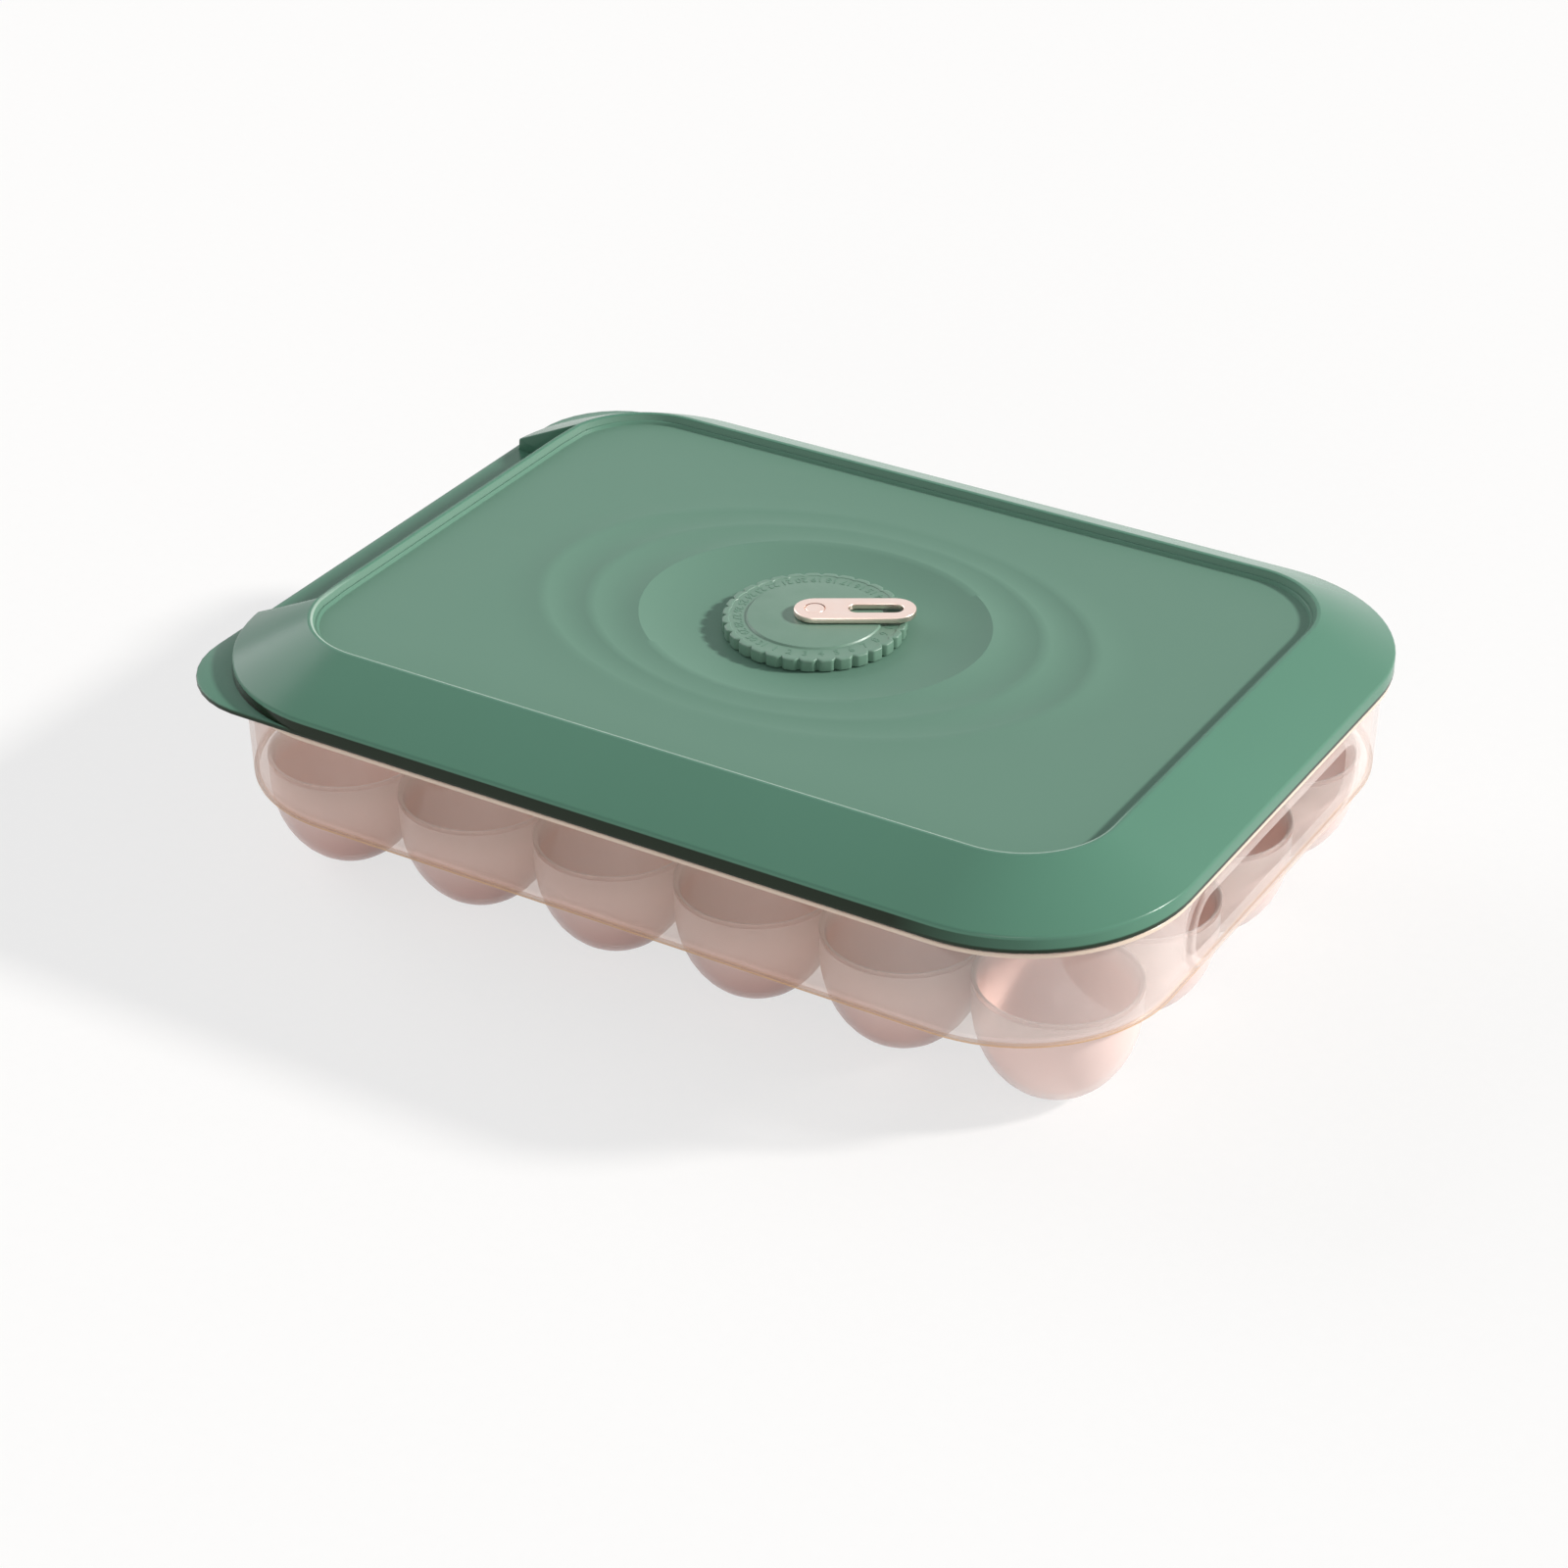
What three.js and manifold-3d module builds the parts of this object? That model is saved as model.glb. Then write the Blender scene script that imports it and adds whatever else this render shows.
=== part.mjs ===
import * as THREE from 'three';
import { mergeVertices } from 'three/addons/utils/BufferGeometryUtils.js';
import Module from 'manifold-3d';

// Egg storage box: a clear tray of cups under a green lid that carries a date dial.
// Millimetres, +Z up, +X towards the right end, -Y towards the front. The lid's lifting lip is at -X.

// Driving sizes in plan: the lid, and the margins round the cup grid below it
const lidHalfX = 160;
const lidHalfY = 120;
const lidCornerRadius = 54;
const endMargin = 10;
const sideMargin = 19;
const cupColumns = 6;
const cupRows = 4;

// One cup: an elliptical bowl with a flat foot, and an upright neck that ends in the tray's flat deck, which
// lies a little below the finger holes
const sheet = 1.6;
const footRadius = 4.5;
const neckInset = 0.3;
const neckHeight = 29.7;
const deckDrop = 2;

// Overall heights above the surface that the feet stand on
const wallFoot = 35;
const lidBottom = 69;
const lidRise = 17;

// Lid in section
const lidSheet = 2;
const flangeHeight = 5.5;
const flangeEdge = 1.2;
const shoulderWidth = 23.6;
const crestWidth = 1.4;
const crestEdge = 0.6;
const recessDepth = 3.1;
const recessDraft = 1.2;

// Lifting lip along the left side, and the grip that is cut out of the shoulder above it
const lipReach = 2;
const lipCornerRadius = 30;
const lipThickness = 1.8;
const gripHalfLength = 72;
const gripWallRun = 9.6;
const gripClearance = 2;

// Dished centre, and the ripples whose sharp crests lie on ellipses round it. They fade to the front and back.
const dishHalfX = 56;
const dishHalfY = 49.5;
const dishFloorRadius = 34;
const dishDepth = 3;
const rippleHeight = 1;
const rippleInside = 6;
const rippleOutside = 10;
const faintestRippleShare = 0.25;
const innerRippleHalfX = 73.2;
const innerRippleHalfY = 58.5;
const outerRippleHalfX = 90.2;
const outerRippleHalfY = 67;

// Tray wall, rim lip, upstand and finger holes
const lidOverhang = 3;
const wallDraft = 1;
const rimThickness = 1.5;
const rimInset = 0.4;
const upstandHeight = 3;
const fingerHoleLength = 112;
const fingerHoleHeight = 21;
const fingerHoleFoot = 40;
const fingerHoleRadius = 9;
const borderWidth = 3;
const borderRelief = 0.9;

// Date dial, pointer, pin and washer
const dialRadius = 28.5;
const dialThickness = 4.3;
const dialDays = 31;
const scallopDepth = 1.1;
const scallopShare = 0.45;
const dialDiscRadius = 20.8;
const dialStep = 0.4;
const pointerWidth = 13;
const pointerReach = 31.2;
const pointerThickness = 2;
const pointerAngle = THREE.MathUtils.degToRad(31);
const slotWidth = 5.6;
const slotStart = 10.2;
const slotEnd = 27.2;
const pinRadius = 2;
const pinHeadRadius = 3;
const pinHeadThickness = 0.8;
const pinTail = 1.2;
const washerRadius = 6.6;
const washerThickness = 1;

// Clearances, and the overrun that lets a cut pass right through
const seat = 0.3;
const fit = 0.3;
const overrun = 5;

// Smoothness of the round shapes, in steps
const cornerSteps = 7;
const cupSides = 16;
const bowlSteps = 4;
const dishSides = 40;
const dialSides = 32;
const pinSides = 20;

const cupPitchX = 2 * (lidHalfX - endMargin) / cupColumns;
const cupPitchY = 2 * (lidHalfY - sideMargin) / cupRows;
const neckRadius = Math.min(cupPitchX, cupPitchY) / 2 - neckInset;
const deckTop = fingerHoleFoot - deckDrop;
const lidTop = lidBottom + lidRise;
const flangeTop = lidBottom + flangeHeight;
const panelTop = lidTop - recessDepth;
const dishFloor = panelTop - dishDepth;
const rimTop = lidBottom - seat;
const upstandTop = rimTop + upstandHeight;

const wasm = await Module();
wasm.setup();

const lidGreen = new THREE.MeshStandardMaterial({ color: 0x4f8a70, roughness: 0.35, metalness: 0 });
const dialGreen = new THREE.MeshStandardMaterial({ color: 0x4b8069, roughness: 0.5, metalness: 0 });
const clearPlastic = new THREE.MeshStandardMaterial({
  color: 0xe9dcd6, roughness: 0.25, metalness: 0, transparent: true, opacity: 0.5,
});
const platedMetal = new THREE.MeshStandardMaterial({ color: 0xe6cfc4, roughness: 0.2, metalness: 1 });
const springSteel = new THREE.MeshStandardMaterial({ color: 0x9a9c9e, roughness: 0.35, metalness: 1 });

// A closed geometry as a solid that can be cut and joined
function solid(geometry) {
  const bare = geometry.clone();
  bare.deleteAttribute('normal');
  bare.deleteAttribute('uv');
  const merged = mergeVertices(bare, 1e-4);
  return new wasm.Manifold(new wasm.Mesh({
    numProp: 3,
    vertProperties: Float32Array.from(merged.attributes.position.array),
    triVerts: Uint32Array.from(merged.index.array),
  }));
}

// A named mesh from a solid
function piece(name, body, material) {
  const { vertProperties, triVerts } = body.getMesh();
  const geometry = new THREE.BufferGeometry();
  geometry.setAttribute('position', new THREE.Float32BufferAttribute(vertProperties, 3));
  geometry.setIndex(Array.from(triVerts));
  const flat = geometry.toNonIndexed();
  flat.computeVertexNormals();
  const mesh = new THREE.Mesh(flat, material);
  mesh.name = name;
  return mesh;
}

// Points round a rectangle with round corners
function roundedOutline(halfX, halfY, radius) {
  const points = [];
  const corners = [[1, 1], [-1, 1], [-1, -1], [1, -1]];
  corners.forEach(([signX, signY], quarter) => {
    for (let step = 0; step <= cornerSteps; step += 1) {
      const angle = (quarter + step / cornerSteps) * Math.PI / 2;
      points.push(new THREE.Vector2(
        signX * (halfX - radius) + radius * Math.cos(angle),
        signY * (halfY - radius) + radius * Math.sin(angle),
      ));
    }
  });
  return points;
}

// A closed solid through rounded outlines, from the lowest level to the highest
function loft(levels) {
  const outlines = levels.map(({ halfX, halfY, radius }) => roundedOutline(halfX, halfY, radius));
  const count = outlines[0].length;
  const positions = [];
  outlines.forEach((outline, level) => {
    outline.forEach((point) => positions.push(point.x, point.y, levels[level].z));
  });
  const faces = [];
  for (let level = 0; level < levels.length - 1; level += 1) {
    for (let side = 0; side < count; side += 1) {
      const next = (side + 1) % count;
      const low = level * count;
      const high = low + count;
      faces.push(low + side, low + next, high + next, low + side, high + next, high + side);
    }
  }
  const top = (levels.length - 1) * count;
  THREE.ShapeUtils.triangulateShape(outlines[0], []).forEach(([a, b, c]) => faces.push(c, b, a));
  THREE.ShapeUtils.triangulateShape(outlines[levels.length - 1], []).forEach(([a, b, c]) => {
    faces.push(top + a, top + b, top + c);
  });
  const geometry = new THREE.BufferGeometry();
  geometry.setAttribute('position', new THREE.Float32BufferAttribute(positions, 3));
  geometry.setIndex(faces);
  return solid(geometry);
}

// One level of a loft that runs parallel to the lid's outline
function lidLevel(inset, z) {
  return { halfX: lidHalfX - inset, halfY: lidHalfY - inset, radius: lidCornerRadius - inset, z };
}

function box(sizeX, sizeY, sizeZ, x, y, z) {
  return solid(new THREE.BoxGeometry(sizeX, sizeY, sizeZ)).translate([x, y, z]);
}

function turned(points, sides) {
  return solid(new THREE.LatheGeometry(points.map(([r, z]) => new THREE.Vector2(r, z)), sides))
    .rotate([90, 0, 0]);
}

function disc(radius, low, high, sides) {
  return turned([[0, low], [radius, low], [radius, high], [0, high]], sides);
}

// A rounded bar of the finger hole's shape, across an end wall
function fingerBar(grow, low, high) {
  const height = fingerHoleHeight + 2 * grow;
  const length = fingerHoleLength + 2 * grow;
  const radius = fingerHoleRadius + grow;
  const shape = new THREE.Shape(roundedOutline(length / 2, height / 2, radius));
  const bar = new THREE.ExtrudeGeometry(shape, { depth: high - low, bevelEnabled: false });
  bar.rotateX(Math.PI / 2);
  bar.rotateZ(Math.PI / 2);
  bar.translate(low, 0, fingerHoleFoot + fingerHoleHeight / 2);
  return solid(bar);
}

const wallHalfX = lidHalfX - lidOverhang;

// Clear wall with its rim lip, bordered finger holes, and an upstand that stops where the lid's grip is
function makeTrayWall() {
  const wall = loft([
    lidLevel(lidOverhang + wallDraft, wallFoot),
    lidLevel(lidOverhang, rimTop),
    lidLevel(lidOverhang, upstandTop),
  ]);
  const rim = loft([lidLevel(rimInset, rimTop - rimThickness), lidLevel(rimInset, rimTop)]);
  const border = fingerBar(borderWidth, wallHalfX - wallDraft - sheet, wallHalfX + borderRelief);
  const fingerHole = fingerBar(0, wallHalfX - wallDraft - sheet - overrun, wallHalfX + overrun);
  const hollow = loft([
    lidLevel(lidOverhang + wallDraft + sheet, wallFoot - overrun),
    lidLevel(lidOverhang + wallDraft + sheet, wallFoot),
    lidLevel(lidOverhang + sheet, rimTop),
    lidLevel(lidOverhang + sheet, upstandTop + overrun),
  ]);
  const upstandGap = box(
    3 * overrun,
    2 * (gripHalfLength + lidSheet + gripClearance),
    2 * overrun,
    overrun / 2 - lidHalfX,
    0,
    rimTop + overrun,
  );
  return wall.add(rim).add(border).add(border.mirror([1, 0, 0]))
    .subtract(hollow)
    .subtract(fingerHole)
    .subtract(fingerHole.mirror([1, 0, 0]))
    .subtract(upstandGap);
}

// Points along an elliptical bowl, from its flat foot up to its neck
function bowlLine(radius, foot, floor) {
  const start = Math.asin(foot / radius);
  const points = [];
  for (let step = 0; step <= bowlSteps; step += 1) {
    const angle = start + (Math.PI / 2 - start) * step / bowlSteps;
    const drop = (neckHeight - floor) * Math.cos(angle) / Math.cos(start);
    points.push([radius * Math.sin(angle), neckHeight - drop]);
  }
  return points;
}

// Section of a cup with the deck round it: up its outside and back down its inside, one sheet thick. The deck
// reaches past its cell and is cut back to it later.
function cupSection() {
  const innerNeck = neckRadius - sheet;
  const deckReach = cupPitchX + endMargin;
  return [
    [0, 0],
    ...bowlLine(neckRadius, footRadius, 0),
    [neckRadius, deckTop - sheet],
    [deckReach, deckTop - sheet],
    [deckReach, deckTop],
    [innerNeck, deckTop],
    ...bowlLine(innerNeck, footRadius, sheet).reverse(),
    [0, sheet],
  ];
}

function cupPlace(column, row) {
  return [(column - (cupColumns - 1) / 2) * cupPitchX, (row - (cupRows - 1) / 2) * cupPitchY];
}

// The room that one cup may fill: up to half a gap from its neighbours, or out to the tray wall
function cupCell(column, row) {
  const reach = lidHalfX;
  const halfGap = fit / 2;
  const [x, y] = cupPlace(column, row);
  const left = column === 0 ? x - reach : x - cupPitchX / 2 + halfGap;
  const right = column === cupColumns - 1 ? x + reach : x + cupPitchX / 2 - halfGap;
  const front = row === 0 ? y - reach : y - cupPitchY / 2 + halfGap;
  const back = row === cupRows - 1 ? y + reach : y + cupPitchY / 2 - halfGap;
  return box(
    right - left,
    back - front,
    lidBottom + 2 * overrun,
    (left + right) / 2,
    (front + back) / 2,
    lidBottom / 2,
  );
}

function makeCup(column, row, bowl, inner) {
  const [x, y] = cupPlace(column, row);
  return bowl.translate([x, y, 0]).intersect(cupCell(column, row)).intersect(inner);
}

// Solid that the sunken dish takes out of the lid, or its shell when grown
function dishBody(grow, low, high) {
  const depth = panelTop - dishFloor;
  const slopeX = (dishHalfX - dishFloorRadius) / depth;
  const section = [
    [0, low],
    [dishFloorRadius + grow, low],
    [dishHalfX + grow + slopeX * (high - panelTop), high],
    [0, high],
  ];
  return turned(section, dishSides).scale([1, dishHalfY / dishHalfX, 1]);
}

// A ring-shaped ridge, highest at the left and right
function ripple(halfX, halfY) {
  const ridge = new THREE.LatheGeometry([
    [halfX - rippleInside, panelTop - lidSheet / 2],
    [halfX + rippleOutside, panelTop - lidSheet / 2],
    [halfX + rippleOutside, panelTop],
    [halfX, panelTop + rippleHeight],
    [halfX - rippleInside, panelTop],
    [halfX - rippleInside, panelTop - lidSheet / 2],
  ].map(([r, z]) => new THREE.Vector2(r, z)), dishSides);
  ridge.rotateX(Math.PI / 2);
  ridge.scale(1, halfY / halfX, 1);
  const places = ridge.attributes.position;
  for (let point = 0; point < places.count; point += 1) {
    const x = places.getX(point);
    const rise = Math.max(places.getZ(point) - panelTop, 0);
    const share = faintestRippleShare + (1 - faintestRippleShare) * (x / halfX) ** 2;
    places.setZ(point, places.getZ(point) - rise * (1 - share));
  }
  return solid(ridge);
}

// Room above the lifting lip that is cut out of the left shoulder, or that room and its shell when grown
function gripRoom(grow) {
  const ledge = lidBottom + lipThickness;
  const wallSlope = gripWallRun / (lidTop - ledge);
  const crestX = shoulderWidth - lidHalfX + grow * Math.hypot(1, wallSlope);
  const outerX = -lidHalfX - lipReach - overrun;
  const high = lidTop + overrun;
  const low = grow > 0 ? lidBottom - overrun : ledge;
  const wallX = (z) => crestX - wallSlope * (lidTop - z);
  const section = [[wallX(high), high], [outerX, high], [outerX, low], [wallX(low), low]];
  const shape = new THREE.Shape(section.map(([x, z]) => new THREE.Vector2(x, z)));
  const halfLength = gripHalfLength + grow;
  const room = new THREE.ExtrudeGeometry(shape, { depth: 2 * halfLength, bevelEnabled: false });
  room.rotateX(Math.PI / 2);
  room.translate(0, halfLength, 0);
  return solid(room);
}

function makeLid() {
  const shell = loft([
    lidLevel(0, lidBottom),
    lidLevel(0, flangeTop - flangeEdge),
    lidLevel(flangeEdge, flangeTop),
    lidLevel(shoulderWidth - crestEdge, lidTop - crestEdge),
    lidLevel(shoulderWidth, lidTop),
  ]);
  const recess = loft([
    lidLevel(shoulderWidth + crestWidth + recessDraft, panelTop),
    lidLevel(shoulderWidth + crestWidth, lidTop),
    lidLevel(shoulderWidth + crestWidth, lidTop + overrun),
  ]);
  const lipHalfX = (lidHalfX + lipReach + lidHalfX / 2) / 2;
  const lip = loft([
    { halfX: lipHalfX, halfY: lidHalfY, radius: lipCornerRadius, z: lidBottom },
    { halfX: lipHalfX, halfY: lidHalfY, radius: lipCornerRadius, z: lidBottom + lipThickness },
  ]).translate([lipHalfX - lidHalfX - lipReach, 0, 0]);
  const cavity = loft([
    lidLevel(lidSheet, lidBottom - overrun),
    lidLevel(lidSheet, flangeTop - lidSheet),
    lidLevel(shoulderWidth + crestWidth, panelTop - lidSheet),
  ]);
  const dishShell = dishBody(lidSheet, dishFloor - lidSheet, panelTop - lidSheet / 2);
  let body = shell.subtract(recess).add(lip).subtract(cavity.subtract(gripRoom(lidSheet))).add(dishShell);
  body = body.add(ripple(innerRippleHalfX, innerRippleHalfY));
  body = body.add(ripple(outerRippleHalfX, outerRippleHalfY));
  return body
    .subtract(gripRoom(0))
    .subtract(dishBody(0, dishFloor, panelTop + rippleHeight + overrun))
    .subtract(disc(pinRadius + fit, dishFloor - lidSheet - overrun, lidTop, pinSides));
}

const dialBottom = dishFloor + seat;
const dialTop = dialBottom + dialThickness;
const pointerBottom = dialTop + seat;
const pointerTop = pointerBottom + pointerThickness;

// Round dial whose edge has one hollow for each day
function makeDial() {
  const shape = new THREE.Shape();
  const step = 2 * Math.PI / dialDays;
  for (let day = 0; day < dialDays; day += 1) {
    const middle = day * step;
    const half = step * (1 - scallopShare) / 2;
    [middle - half, middle + half].forEach((angle) => {
      const x = dialRadius * Math.cos(angle);
      const y = dialRadius * Math.sin(angle);
      if (day === 0 && angle < middle) shape.moveTo(x, y);
      else shape.lineTo(x, y);
    });
    const low = dialRadius - scallopDepth;
    shape.lineTo(low * Math.cos(middle + step / 2), low * Math.sin(middle + step / 2));
  }
  shape.closePath();
  const plate = new THREE.ExtrudeGeometry(shape, { depth: dialThickness - dialStep, bevelEnabled: false });
  plate.translate(0, 0, dialBottom);
  return solid(plate)
    .add(disc(dialDiscRadius, dialBottom, dialTop, dialSides))
    .subtract(disc(pinRadius + fit, dialBottom - overrun, dialTop + overrun, pinSides));
}

// Flat bar with round ends along +X
function pill(start, end, width, low, high) {
  const shape = new THREE.Shape();
  const radius = width / 2;
  shape.absarc(start + radius, 0, radius, Math.PI / 2, 3 * Math.PI / 2, false);
  shape.absarc(end - radius, 0, radius, -Math.PI / 2, Math.PI / 2, false);
  shape.closePath();
  const bar = new THREE.ExtrudeGeometry(shape, { depth: high - low, bevelEnabled: false, curveSegments: 10 });
  bar.translate(0, 0, low);
  return solid(bar);
}

function makePointer() {
  const bar = pill(-pointerWidth / 2, pointerReach, pointerWidth, pointerBottom, pointerTop);
  const slot = pill(slotStart, slotEnd, slotWidth, pointerBottom - overrun, pointerTop + overrun);
  const headSeat = pointerTop - pinHeadThickness - seat;
  return bar.subtract(slot)
    .subtract(disc(pinRadius + fit, pointerBottom - overrun, pointerTop + overrun, pinSides))
    .subtract(disc(pinHeadRadius + fit, headSeat, pointerTop + overrun, pinSides))
    .rotate([0, 0, THREE.MathUtils.radToDeg(pointerAngle)]);
}

const washerTop = dishFloor - lidSheet - seat;
const washerBottom = washerTop - washerThickness;

function makePin() {
  const headBottom = pointerTop - pinHeadThickness;
  return turned([
    [0, washerBottom - pinTail],
    [pinRadius, washerBottom - pinTail],
    [pinRadius, headBottom],
    [pinHeadRadius, headBottom],
    [pinHeadRadius, pointerTop],
    [0, pointerTop],
  ], pinSides);
}

function makeWasher() {
  return disc(washerRadius, washerBottom, washerTop, pinSides)
    .subtract(disc(pinRadius + fit, washerBottom - overrun, washerTop + overrun, pinSides));
}

const tray = new THREE.Group();
tray.add(piece('tray_wall', makeTrayWall(), clearPlastic));
const bowl = turned(cupSection(), cupSides);
const inner = loft([
  lidLevel(lidOverhang + wallDraft + sheet + fit, -overrun),
  lidLevel(lidOverhang + wallDraft + sheet + fit, wallFoot),
  lidLevel(lidOverhang + sheet + fit, rimTop),
]);
for (let row = 0; row < cupRows; row += 1) {
  for (let column = 0; column < cupColumns; column += 1) {
    const name = `egg_cup_row${row + 1}_column${column + 1}`;
    tray.add(piece(name, makeCup(column, row, bowl, inner), clearPlastic));
  }
}

const lid = new THREE.Group();
lid.add(piece('lid', makeLid(), lidGreen));
lid.add(piece('date_dial', makeDial(), dialGreen));
lid.add(piece('dial_pointer', makePointer(), platedMetal));
lid.add(piece('pivot_pin', makePin(), platedMetal));
lid.add(piece('retaining_washer', makeWasher(), springSteel));

// The lifting lip makes the box longer at one end, so the pieces move to keep the origin at its middle
const eggBox = new THREE.Group();
eggBox.position.x = lipReach / 2;
eggBox.add(tray, lid);

export default eggBox;
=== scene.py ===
from math import asin, atan2, cos, hypot, pi, radians, sin, sqrt, tan

import bmesh
import bpy
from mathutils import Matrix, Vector


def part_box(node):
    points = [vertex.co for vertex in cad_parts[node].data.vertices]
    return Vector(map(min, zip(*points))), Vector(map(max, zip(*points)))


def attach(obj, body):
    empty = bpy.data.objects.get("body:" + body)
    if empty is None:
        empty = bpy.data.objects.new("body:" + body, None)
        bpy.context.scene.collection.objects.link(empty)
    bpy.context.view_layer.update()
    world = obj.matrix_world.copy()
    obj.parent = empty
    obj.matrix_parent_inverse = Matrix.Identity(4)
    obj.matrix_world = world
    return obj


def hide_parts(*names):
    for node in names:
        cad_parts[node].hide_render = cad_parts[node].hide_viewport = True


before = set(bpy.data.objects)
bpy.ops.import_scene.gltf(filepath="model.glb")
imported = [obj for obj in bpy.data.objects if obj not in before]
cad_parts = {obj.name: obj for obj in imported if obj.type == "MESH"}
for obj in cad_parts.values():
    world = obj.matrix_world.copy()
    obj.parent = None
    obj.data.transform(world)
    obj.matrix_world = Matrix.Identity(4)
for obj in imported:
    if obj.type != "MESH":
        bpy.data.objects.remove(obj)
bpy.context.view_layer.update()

# Egg storage box: a milky clear tray of cups under a green lid with a date dial.
# Metres, in the frame's own place. Sizes below are real millimetres times MM.
MM = 0.001

# Camera, from the photograph's perspective
CAMERA_PLACE = (513.3 * MM, -874.8 * MM, 632.5 * MM)
CAMERA_DOWN = radians(30.98)
CAMERA_TURN = radians(30.89)
CAMERA_LENS = 86.17
CAMERA_SENSOR = 36
CAMERA_SIGHT = 50

# Floor, lamps and world. A lamp has its energy, then degrees of spread, height and turn, then its colour.
FLOOR_HALF = 6.0
FLOOR_LUMPS = 4 * MM
FLOOR_ROUGHNESS = 0.8
FLOOR_PALE = (0.80, 0.79, 0.78, 1)
FLOOR_WHITE = (0.84, 0.83, 0.82, 1)
FLOOR_WHITE_SHARE = 0.7
LAMPS = {
    "key": (4.1, 7, 30, 121, (1.0, 0.97, 0.93)),
    "left_fill": (1.0, 40, 26, -100, (1, 1, 1)),
    "front_fill": (1.1, 30, 5, 21, (1.0, 0.94, 0.9)),
}
WORLD_COLOUR = (0.95, 0.97, 1, 1)
WORLD_STRENGTH = 0.33
WHITE = (1, 1, 1, 1)

# Places and heights that the frame gives
LID_LOW, LID_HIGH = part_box("lid")
WALL_LOW, WALL_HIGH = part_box("tray_wall")
DIAL_LOW, DIAL_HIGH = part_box("date_dial")
POINTER_LOW, POINTER_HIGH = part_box("dial_pointer")
PIN_LOW, PIN_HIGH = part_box("pivot_pin")
WASHER_LOW, WASHER_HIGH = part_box("retaining_washer")
MIDDLE_X = (PIN_LOW.x + PIN_HIGH.x) / 2
LID_BOTTOM = LID_LOW.z
LID_TOP = LID_HIGH.z

# Angle between two faces from which their edge looks sharp, and distances at which points merge
SHARP = radians(32)
MERGE_REACH = 0.001 * MM
TIDY_REACH = 0.002 * MM

# Halvings in a search, the least slant towards a limit, and the least share of a side beside a corner
HALVINGS = 30
LEAST_SLANT = 1e-6
SLIVER_SHARE = 0.001

# Lid
LID_HALF_X = LID_HIGH.x - MIDDLE_X
LID_HALF_Y = LID_HIGH.y
LID_CORNER = 54 * MM
LID_EDGE_STEPS = (20, 30, 22)
LID_SHEET = 2 * MM
FLANGE_HEIGHT = 5.7 * MM
SHOULDER_WIDTH = 23.7 * MM
CREST_WIDTH = 1.3 * MM
RECESS_DEPTH = 3.1 * MM
RECESS_DRAFT = 1.2 * MM
PANEL_INSET = SHOULDER_WIDTH + CREST_WIDTH + RECESS_DRAFT
PANEL_MARGIN = 2 * MM
PANEL_TOP = LID_TOP - RECESS_DEPTH
FLANGE_TOP = LID_BOTTOM + FLANGE_HEIGHT
FLANGE_FILLET = 1.1 * MM
CREST_FILLETS = (0.6 * MM, 0.5 * MM, 0.8 * MM)
UNDERSIDE_FILLETS = (0.5 * MM, 0.4 * MM, 0.5 * MM, 1 * MM)
CREST_HOLLOW_SHARES = (1.6, 0.8, 0.2)
DISH_UNDERSIDE_SHARE = 0.3
MATT_RINGS = 7
UNDERSIDE_MATT = 0.5
LID_SHARP = radians(28)
LIP_REACH = MIDDLE_X - LID_HALF_X - LID_LOW.x
LIP_CORNER = 30 * MM
LIP_THICKNESS = 1.8 * MM
LIP_EDGE = 0.5 * MM
LIP_TURN = LIP_EDGE * 0.3
LEAST_LIP = LIP_EDGE / 10
LEDGE_TOP = LID_BOTTOM + LIP_THICKNESS
LEDGE_FILLET = 1 * MM
# Painted shade on the lip: the share of dark green on each of its rings, from its bottom edge up to the ledge
LIP_PAINTED_SHADE_SHARES = (1, 1, 1, 0.9, 0.3, 0)

# Grip: the left shoulder is cut away down to a ledge, behind which a steep wall rises to the crest
GRIP_HALF_LENGTH = 72 * MM
GRIP_WALL_RUN = 9.6 * MM
GRIP_EDGE = 0.5 * MM
GRIP_TURN = GRIP_EDGE * 0.3
GRIP_TURN_CUTS = (0.02, 0.08)
GRIP_EASE = 1.2 * MM
GRIP_LEAN = sin(radians(22.5))
GRIP_COLUMN_SHARES = (0.85, 0.68, 0.51, 0.34, 0.17)
GRIP_CORNER_SHARES = (2 / 3, 1 / 3, 0)
GRIP_SEAM = 0.1 * MM

# Dish and ripples: half lengths along X and Y of each sharp crest
RIPPLE_CRESTS = ((56 * MM, 49.5 * MM), (73.2 * MM, 58.5 * MM), (90.2 * MM, 67 * MM))
RIPPLE_HEIGHT = 1.1 * MM
RIPPLE_SKIRT = 13 * MM
FAINTEST_RIPPLE_SHARE = 0.2
SKIRT_STEPS = 6
RIPPLE_STEPS = 8
DISH_STEPS = 10
FLAT_SHARES = (0.3, 0.65)
DISH_FLOOR = (34 * MM, 30 * MM)
DISH_DEPTH = 3 * MM
PIN_HOLE = 2.3 * MM

# Tray
TRAY_SHARP = radians(35)
COLUMNS = 6
ROWS = 4
PITCH_X = 50 * MM
PITCH_Y = 50.5 * MM
TRAY_SHEET = 1.6 * MM
WALL_INSET = 3 * MM
WALL_DRAFT = 1 * MM
WALL_SEAM = 0.1 * TRAY_SHEET
RIM_INSET = 0.4 * MM
RIM_THICKNESS = 1.5 * MM
RIM_TOP = LID_BOTTOM - 0.3 * MM
RIM_FILLET = 0.4 * MM
WALL_FOOT_FILLET = 0.5 * MM
UNDER_RIM_FILLET = 0.8 * MM
INNER_RIM_FILLET = 3 * MM
CUP_SIDES = 48
FOOT_RADIUS = 4.5 * MM
NECK_RADIUS = 24.7 * MM
NECK_HEIGHT = 29.7 * MM
NECK_FILLET = 0.2 * MM
DECK_TOP = 38 * MM
DECK_START = NECK_RADIUS + 0.25 * MM
DECK_INSET = 4.5 * MM
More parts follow.
